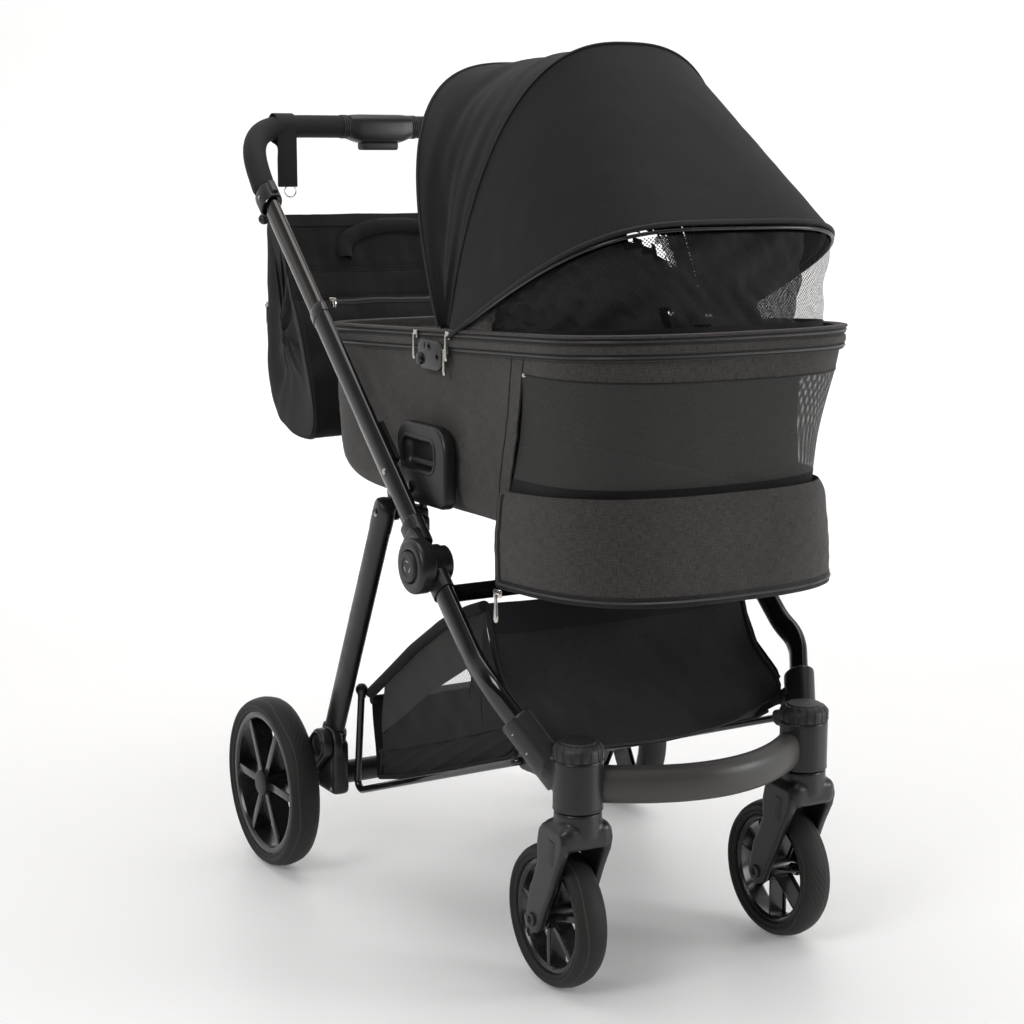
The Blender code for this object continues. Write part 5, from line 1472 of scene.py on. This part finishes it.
# ------------------------------------------------------------------------------ basket and bag
def basket():
    """Basket rails, the front, floor, rear and side cloths between them, and hems, strap and buckle."""
    corners = [V(0.1895, 0.033, 0.277), V(0.205, 0.033, 0.277), V(0.205, 0.115, 0.248),
               V(0.205, 0.474, 0.1195), V(0.205, 0.456, 0.267)]
    rail = sweep(refined(rounded(corners, 0.012, 10), 0.02), ellipse(0.005, 0.005, 20), Vector((0, 0, 1)))
    tip = lathe([(0.0, 0.0085), (0.0045, 0.0072), (0.0078, 0.0035), (0.0085, 0.0), (0.0078, -0.0040),
                 (0.0060, -0.0070), (0.0056, -0.0120), (0.0, -0.0122)], V(0.205, 0.4557, 0.2700), "Z", 28)
    pair("basket_rail", rail, TUBE_PAINT, "basket_frame", ["basket_rail_{}"])
    pair("basket_rail_tip", tip, PLASTIC, "basket_frame")

    half = 0.1900

    def line(points, y):
        """Height of a polyline of (y, z) points with falling or rising y."""
        points = sorted(points)
        for (y0, z0), (y1, z1) in zip(points, points[1:]):
            if y <= y1:
                return z0 + (z1 - z0) * (y - y0) / (y1 - y0)
        return points[-1][1]
    TOP = [(0.460, 0.258), (0.397, 0.301), (0.323, 0.3525), (0.2385, 0.403), (0.175, 0.432), (0.134, 0.446)]
    FOOT = [(0.440, 0.146), (0.3556, 0.1687), (0.2138, 0.2175), (0.0847, 0.2645), (0.030, 0.296)]
    BAND = [(0.440, 0.200), (0.373, 0.240), (0.274, 0.304), (0.161, 0.366), (0.134, 0.381)]
    NET_FOOT = [(0.274, 0.303), (0.161, 0.338)]

    front_rows = []
    for j in range(121):
        k = 2 * j / 120 - 1
        a = abs(k) ** 2.4
        hem = 0.276 + 0.028 * a
        points = [V(0, 0.088, 0.2632), V(0, 0.050, hem - 0.004), V(0, 0.026 + 0.010 * a, hem - 0.001),
                  V(0, 0.022 + 0.012 * a, hem + 0.010), V(0, 0.042 + 0.004 * a, hem + 0.030),
                  V(0, 0.092, 0.362 - 0.010 * (1 - a)), V(0, 0.132, 0.4330 + 0.006 * a),
                  V(0, 0.138, 0.4460 + 0.003 * a)]
        column = even(smooth_path(points, 0.006), 48)
        front_rows.append([p + Vector(((half + 0.001) * k, 0, 0)) for p in column])
    front_rows = [list(row) for row in zip(*front_rows)]
    front_rows = rippled(front_rows, lambda p, s, t: -0.0042 * ripples(p, (0.09, 0.06, 0.06), 2.5)
                         - 0.0012 * ripples(p, (0.025, 0.03, 0.03), 6.5))
    floor_rows = []
    for i in range(61):
        t = i / 60
        y = 0.088 + 0.352 * t
        row = []
        for j in range(121):
            k = 2 * j / 120 - 1
            sag = 0.010 * (1 - k * k) * math.sin(math.pi * t)
            row.append(V(half * k, y, line(FOOT, y) - sag + 0.0008))
        floor_rows.append(row)
    rear_rows = [[V(half * (2 * j / 80 - 1), 0.440 + 0.016 * i / 20 - 0.004 * math.sin(math.pi * j / 80),
                    0.146 + 0.106 * i / 20) for j in range(81)] for i in range(21)]
    rear_rows = rippled(rear_rows, lambda p, s, t: 0.0022 * ripples(p, (0.05, 0.05, 0.04), 4.5))
    front = piece("basket", grid(front_rows), BASKET_CLOTH, "basket_frame", ["basket"])
    base_sheet = piece("basket_floor", grid(floor_rows), BLACK_CLOTH, "basket_frame")
    rear = piece("basket_rear", grid(rear_rows), BLACK_CLOTH, "basket_frame")
    for obj, rows in ((front, front_rows), (base_sheet, floor_rows), (rear, rear_rows)):
        declared(obj, rows)

    def side_sheet(name, low_line, high_line, y0, y1, mat, folds=0.0016, quilt=0.0):
        """Side cloth between two lines, over a stretch of the basket's length."""
        rows = []
        for i in range(25):
            row = []
            for j in range(91):
                y = y0 + (y1 - y0) * j / 90
                low, high = line(low_line, y), line(high_line, y)
                z = low + (high - low) * i / 24
                whole = (z - line(FOOT, y)) / max(0.02, line(TOP, y) - line(FOOT, y))
                row.append(V(half + 0.0060 * math.sin(math.pi * min(1.0, max(0.0, whole))), y, z))
            rows.append(row)
        rows = rippled(rows, lambda p, s, t: folds * ripples(p, (0.05, 0.05, 0.03), 1.7)
                       + quilt * abs(math.sin(math.pi * (p.y * 0.55 + p.z) / 0.017)) ** 0.5)
        for word, side in SIDES.items():
            obj = piece(f"{name}_{word}", flipped(grid(rows), side), mat, "basket_frame")
            declared(obj, rows)
        return rows
    upper = side_sheet("basket_side_upper", BAND, TOP, 0.414, 0.134, SIDE_CLOTH)
    side_sheet("basket_side_net", NET_FOOT, BAND, 0.273, 0.161, THIN_NET, 0.0006)
    side_sheet("basket_side_lower", [(y, z + 0.040) for y, z in FOOT],
               [(0.414, 0.2140)] + BAND[1:3] + NET_FOOT[1:] + [(0.1605, 0.366), (0.134, 0.381)],
               0.414, 0.134, BLACK_CLOTH, 0.0022)
    side_sheet("basket_side_front", [(y, z + 0.040) for y, z in FOOT],
               [(0.135, 0.450), (0.128, 0.425), (0.092, 0.366), (0.046, 0.337), (0.036, 0.325)],
               0.136, 0.037, BLACK_CLOTH, 0.0012)
    side_sheet("basket_side_quilt", FOOT, [(y, z + 0.040) for y, z in FOOT], 0.428, 0.037, BLACK_CLOTH,
               0.0010, 0.0026)
    stitches = []
    at, wide, tall = cloth(upper)
    for v in (0.003, tall * 0.55):
        stitches.append(ribbon(at, [(0.004, v), (wide - 0.004, v)], bead_profile(0.0010)))
    hem = [V(half + 0.002, y, line(TOP, y) + 0.001) for y in [0.134 + 0.320 * i / 60 for i in range(61)]]
    hem = sweep(smooth_path(hem[::4], 0.006), ellipse(0.0080, 0.0072, 18), Vector((0, 0, 1)))
    back_hem = sweep([V(half, 0.415, 0.250), V(half, 0.410, 0.214), V(half, 0.427, 0.156)],
                     ellipse(0.0026, 0.0026, 12), Vector((0, 1, 0)))
    foot_hem = [V(half, y, line(FOOT, y)) for y in [0.060 + 0.372 * i / 40 for i in range(41)]]
    foot_hem = sweep(foot_hem, ellipse(0.0030, 0.0030, 12), Vector((0, 0, 1)))
    pair("basket_side_hem", merged(hem, back_hem, foot_hem, *stitches), BLACK_CLOTH, "basket_frame")
    rear_hem = [V(x, 0.456, 0.2525) for x in (-half, -0.06, 0.06, half)]
    piece("basket_rear_hem", sweep(refined(rear_hem, 0.02), ellipse(0.0060, 0.0060, 16), Vector((0, 0, 1))),
          BLACK_CLOTH, "basket_frame")
    edge_hem = sweep([row[120] for row in front_rows[10::3]], ellipse(0.0034, 0.0034, 12), Vector((1, 0, 0)))
    pair("basket_front_edges", edge_hem, BASKET_CLOTH, "basket_frame")
    top_band = [[p + Vector((0, -0.0012, 0.0)) for p in row] for row in front_rows[41:49]]
    piece("basket_top_band", grid(top_band), BLACK_CLOTH, "basket_frame")
    front_hem = front_rows[9]
    piece("basket_front_hem", sweep(front_hem[2:-2:3], ellipse(0.0036, 0.0036, 14), Vector((0, 0, 1))),
          BLACK_CLOTH, "basket_frame")
    strap_line = [V(0.181, 0.036, 0.300), V(0.186, 0.022, 0.307), V(0.1925, 0.006, 0.314)]
    strap = sweep(smooth_path(strap_line, 0.004), ellipse(0.0012, 0.0080, 12, 4), Vector((0, 0.7, 0.7)))
    buckle = box((-0.0035, -0.0110, -0.0095), (0.0035, 0.0110, 0.0095), 0.0022, 3)
    buckle.transform(Matrix.Translation(V(0.187, 0.020, 0.308)) @ Matrix.Rotation(math.radians(-35), 4, "X"))
    pair("basket_strap", strap, WEBBING, "basket_frame")
    pair("basket_buckle", buckle, PLASTIC, "basket_frame")


def bag():
    """Bag on the handle: body, gussets, bindings, zips, straps and grab handle."""
    outline = [(0.752, 0.906), (0.728, 0.852), (0.705, 0.800), (0.684, 0.760), (0.664, 0.716),
               (0.646, 0.670), (0.634, 0.632), (0.636, 0.606), (0.652, 0.593), (0.700, 0.593),
               (0.745, 0.605), (0.780, 0.625), (0.794, 0.664), (0.797, 0.730), (0.796, 0.800),
               (0.792, 0.856), (0.786, 0.906)]
    line = even(smooth_path([V(0, y, z) for y, z in outline], 0.004), 240)
    centre = V(0, 0.728, 0.745)
    rows = []
    half = 0.188
    for i in range(161):
        x = half * (1 - 2 * i / 160)
        edge = (half - abs(x)) / 0.016
        k = 1.0 if edge >= 1 else 1 - 0.035 * (1 - math.sqrt(max(0.0, 1 - (1 - edge) ** 2)))
        rows.append([centre + (p - centre) * k + Vector((x, 0, 0)) for p in line])
    rows = [list(column) for column in zip(*rows)]

    def fullness(p, s, t):
        """Soft folds of the bag: hanging creases, a fuller pocket and pinched seams."""
        front = 1.0 if s < 0.46 else 0.0
        seam = sum(math.exp(-((s - c) / 0.006) ** 2) for c in (0.105, 0.165))
        pleat = abs(math.sin(p.x * 41.0 + 0.6)) ** 8 * math.exp(-((s - 0.085) / 0.030) ** 2)
        pocket = 0.0050 * ease((s - 0.165) / 0.05) * ease((0.42 - s) / 0.08)
        return (0.0042 * ripples(p, (0.055, 0.06, 0.045), 2.2) + 0.0016 * ripples(p, (0.016, 0.03, 0.03), 5.2)
                - front * (0.0024 * seam + 0.0050 * pleat) + front * pocket)
    rows = rippled(rows, fullness)
    ends = []
    for j in (0, 160):
        rim = [row[j] for row in rows]
        inward = Vector((-0.006 if j == 0 else 0.006, 0, 0))
        loop = rim + [rim[-1].lerp(rim[0], k / 20) for k in range(1, 20)]
        middle = sum(loop, Vector()) / len(loop)
        fan = [[middle.lerp(p, k) + inward * (math.sin(math.pi * k) - 0.4 * math.sin(3 * math.pi * k)
                                              + 1.6 * (1 - k) * ripples(p.lerp(middle, k),
                                                                        (0.03, 0.03, 0.05), 3.0))
                for p in loop] for k in (0.02, 0.15, 0.3, 0.45, 0.6, 0.75, 0.88, 0.96, 1.0)]
        ends.append(grid([r + [r[0]] for r in fan]))
    lip_in = [rows[0], [V(p.x * 0.985, p.y - AXLE_Y + 0.004, 0.890) for p in rows[0]],
              [V(p.x * 0.97, 0.735, 0.700) for p in rows[0]]]
    lip_out = [[V(p.x * 0.97, 0.735, 0.700) for p in rows[-1]],
               [V(p.x * 0.985, p.y - AXLE_Y - 0.004, 0.890) for p in rows[-1]], rows[-1]]
    sack = piece("bag", merged(grid(rows), grid(lip_in), grid(lip_out)), BAG_CLOTH, "handle",
                 ["bag"])
    # Painted light: the end gussets are the bag's own fabric, given the lighter basket cloth to stand for the
    # light from the left that falls on them.
    piece("bag_gussets", merged(*[tidy(end) for end in ends]), BASKET_CLOTH, "handle")
    at, wide, tall = cloth(rows)
    details = []
    for v in (0.006, tall - 0.006):
        details.append(ribbon(at, [(0.003, v), (wide - 0.003, v)], tape_profile(0.0085, 0.0012)))
    for v in (0.082, 0.086, 0.128):
        details.append(ribbon(at, [(0.006, v), (wide - 0.006, v)], bead_profile(0.0010)))
    for u in (0.004, wide - 0.004):
        details.append(ribbon(at, [(u, 0.020), (u, tall - 0.020)], bead_profile(0.0022, -0.0002)))
    piece("bag_bindings", merged(*details), BLACK_CLOTH, "handle")
    zips = [zip_on(at, [(0.030, 0.134), (wide - 0.062, 0.134)], 0.0060, 0.0014)]
    for u in (0.016, wide - 0.016):
        zips.append(zip_on(at, [(u, tall * 0.60), (u, tall * 0.83)], 0.0050, 0.0014))
    piece("bag_zip_tape", merged(*[z[0] for z in zips]), TAPE, "handle")
    piece("bag_zip_coil", merged(*[z[1] for z in zips]), COIL, "handle")
    flat = []
    for a, b in ((0.030, wide - 0.062),):
        flat.append(ribbon(at, [(a, 0.1325), (b, 0.1325)], bead_profile(0.0006, 0.0012)))
    piece("bag_zip_piping", merged(*flat), LIGHT_PIPING, "handle")
    p = lifted(at, wide - 0.062, 0.134, 0.0010)
    q = lifted(at, wide - 0.004, tall * 0.83, 0.0012)
    pulls = [slider(p, Vector((0, -1, 0.3)), Vector((1, 0, 0)), 0.032, 0.0100),
             slider(q, Vector((-1, 0.2, 0)), Vector((0, 0, 1)), 0.030, 0.0090)]
    piece("bag_zip_pull", merged(*pulls), CHROME, "handle")
    straps = []
    for side in (-1, 1):
        hung = smooth_path([V(side * 0.206, 0.722, 0.934), V(side * 0.190, 0.742, 0.922),
                            V(side * 0.170, 0.764, 0.896)], 0.004)
        straps.append(sweep(hung, ellipse(0.0060, 0.0010, 12, 4), Vector((0, -0.6, 0.8))))
    piece("bag_straps", merged(*straps), WEBBING, "handle")
    middle = wide / 2
    arch_line = [(middle + 0.094 * math.cos(math.radians(a)),
                  0.066 - 0.050 * math.sin(math.radians(a)) ** 0.7)
                 for a in range(0, 181, 9)]
    handle = ribbon(at, arch_line, [(-0.0120, 0.0006), (-0.0110, 0.0052), (-0.006, 0.0090), (0.0, 0.0100),
                                    (0.006, 0.0090), (0.0110, 0.0052), (0.0120, 0.0006)])
    piece("bag_grab_handle", handle, BAG_CLOTH, "handle")


# ------------------------------------------------------------------------------ stage
CAMERA_PLACE = (-1.39336, -2.33514, 0.99034)
CAMERA_YAW, CAMERA_DOWN = 30.1515, 9.8505        # degrees right of +Y, and below level
CAMERA_LENS, CAMERA_SENSOR = 71.596, 36.0        # millimetres


def studio():
    """Pale floor with a coved wall ahead of the camera, four area lights, and the camera; the floor glows as
    painted light, more towards the back.
    """
    yaw = math.radians(30.15)
    ahead = Vector((math.sin(yaw), math.cos(yaw), 0))
    right = Vector((math.cos(yaw), -math.sin(yaw), 0))
    world = bpy.data.worlds.new("studio")
    bpy.context.scene.world = world
    world.use_nodes = True
    tree = world.node_tree
    sky = add(tree, "TexCoord").outputs["Generated"]

    def sweep_light(direction, low, high, amount):
        along = add(tree, "VectorMath", {0: sky, 1: direction}, operation="DOT_PRODUCT").outputs["Value"]
        return add(tree, "MapRange", {"Value": along, "From Min": low, "From Max": high, "To Min": 0.0,
                                      "To Max": amount}, interpolation_type="SMOOTHSTEP").outputs["Result"]
    behind, above = sweep_light(ahead, -0.30, 0.55, 0.72), sweep_light((0, 0, 1), 0.15, 0.9, 0.30)
    strength = product(tree, product(tree, behind, above, "ADD"), 0.07, "ADD")
    tree.links.new(strength, tree.nodes["Background"].inputs["Strength"])
    tree.nodes["Background"].inputs["Color"].default_value = (1.0, 1.0, 1.0, 1.0)

    path = [(-1.7, 0.0), (1.92, 0.0)]
    path += [(1.92 + 0.5 * math.sin(math.radians(a)), 0.5 - 0.5 * math.cos(math.radians(a)))
             for a in range(5, 91, 5)] + [(2.42, 6.0)]
    rows = [[ahead * d + right * w + Vector((0, 0, h)) for w in (-3, -1.5, 0, 1.5, 3)] for d, h in path]
    mesh = grid(rows)
    mesh.shade_smooth()
    mat, tree, shader = base("studio_floor", (0.86, 0.86, 0.86), 0.42, Specular_IOR_Level=0.35,
                             Emission_Color=(1.0, 0.995, 0.99, 1.0))
    place = add(tree, "TexCoord").outputs["Object"]
    dust = add(tree, "TexNoise", {"Vector": place, "Scale": 6.0, "Detail": 5.0}).outputs["Fac"]
    tinted(tree, shader, (0.86, 0.852, 0.848), ramp(tree, dust, 0.3, 0.7, 0.99, 1.01))
    tree.links.new(ramp(tree, dust, 0.3, 0.7, 0.36, 0.46), shader.inputs["Roughness"])
    deep = add(tree, "VectorMath", {0: place, 1: ahead}, operation="DOT_PRODUCT").outputs["Value"]
    # Painted light: the floor glows more towards the back, brightening the far floor and lifting the shadows
    # under the stroller; the cove wall adds an even glow as a backdrop.
    painted_floor_light = ramp(tree, deep, -1.5, 1.9, 0.0, 0.27)
    wall = ramp(tree, deep, 1.90, 2.00, 0.0, 0.14)
    tree.links.new(product(tree, painted_floor_light, wall, "ADD"), shader.inputs["Emission Strength"])
    mesh.materials.append(mat)
    floor = bpy.data.objects.new("studio_floor", mesh)
    bpy.context.scene.collection.objects.link(floor)

    def lamp(name, place, target, size, watts, size_y=None):
        light = bpy.data.lights.new(name, "AREA")
        light.shape = "RECTANGLE"
        light.size, light.size_y = size, size_y or size
        light.energy = watts
        obj = bpy.data.objects.new(name, light)
        obj.location = place
        obj.rotation_euler = (Vector(target) - Vector(place)).to_track_quat("-Z", "Y").to_euler()
        bpy.context.scene.collection.objects.link(obj)
    lamp("key", (-2.8, -1.2, 2.2), (0, 0, 0.5), 1.3, 38)
    lamp("top", (0.1, -0.2, 3.2), (0, 0, 0.4), 2.0, 30)
    lamp("fill", (2.5, -2.4, 1.1), (0, 0, 0.6), 1.2, 42)
    lamp("rim", (1.6, 2.4, 1.8), (0, 0, 0.4), 1.6, 34)

    data = bpy.data.cameras.new("camera")
    data.lens, data.sensor_width = CAMERA_LENS, CAMERA_SENSOR
    camera = bpy.data.objects.new("camera", data)
    camera.location = CAMERA_PLACE
    camera.rotation_euler = (math.radians(90 - CAMERA_DOWN), 0.0, -math.radians(CAMERA_YAW))
    bpy.context.scene.collection.objects.link(camera)
    bpy.context.scene.camera = camera
    bpy.context.scene.view_settings.view_transform = "Standard"


chassis_tubes()
caster_parts()
wheels()
hubs()
rear_end()
handle_parts()
hang_strap()
carrycot()
hood()
hinge_plates()
basket()
bag()
studio()
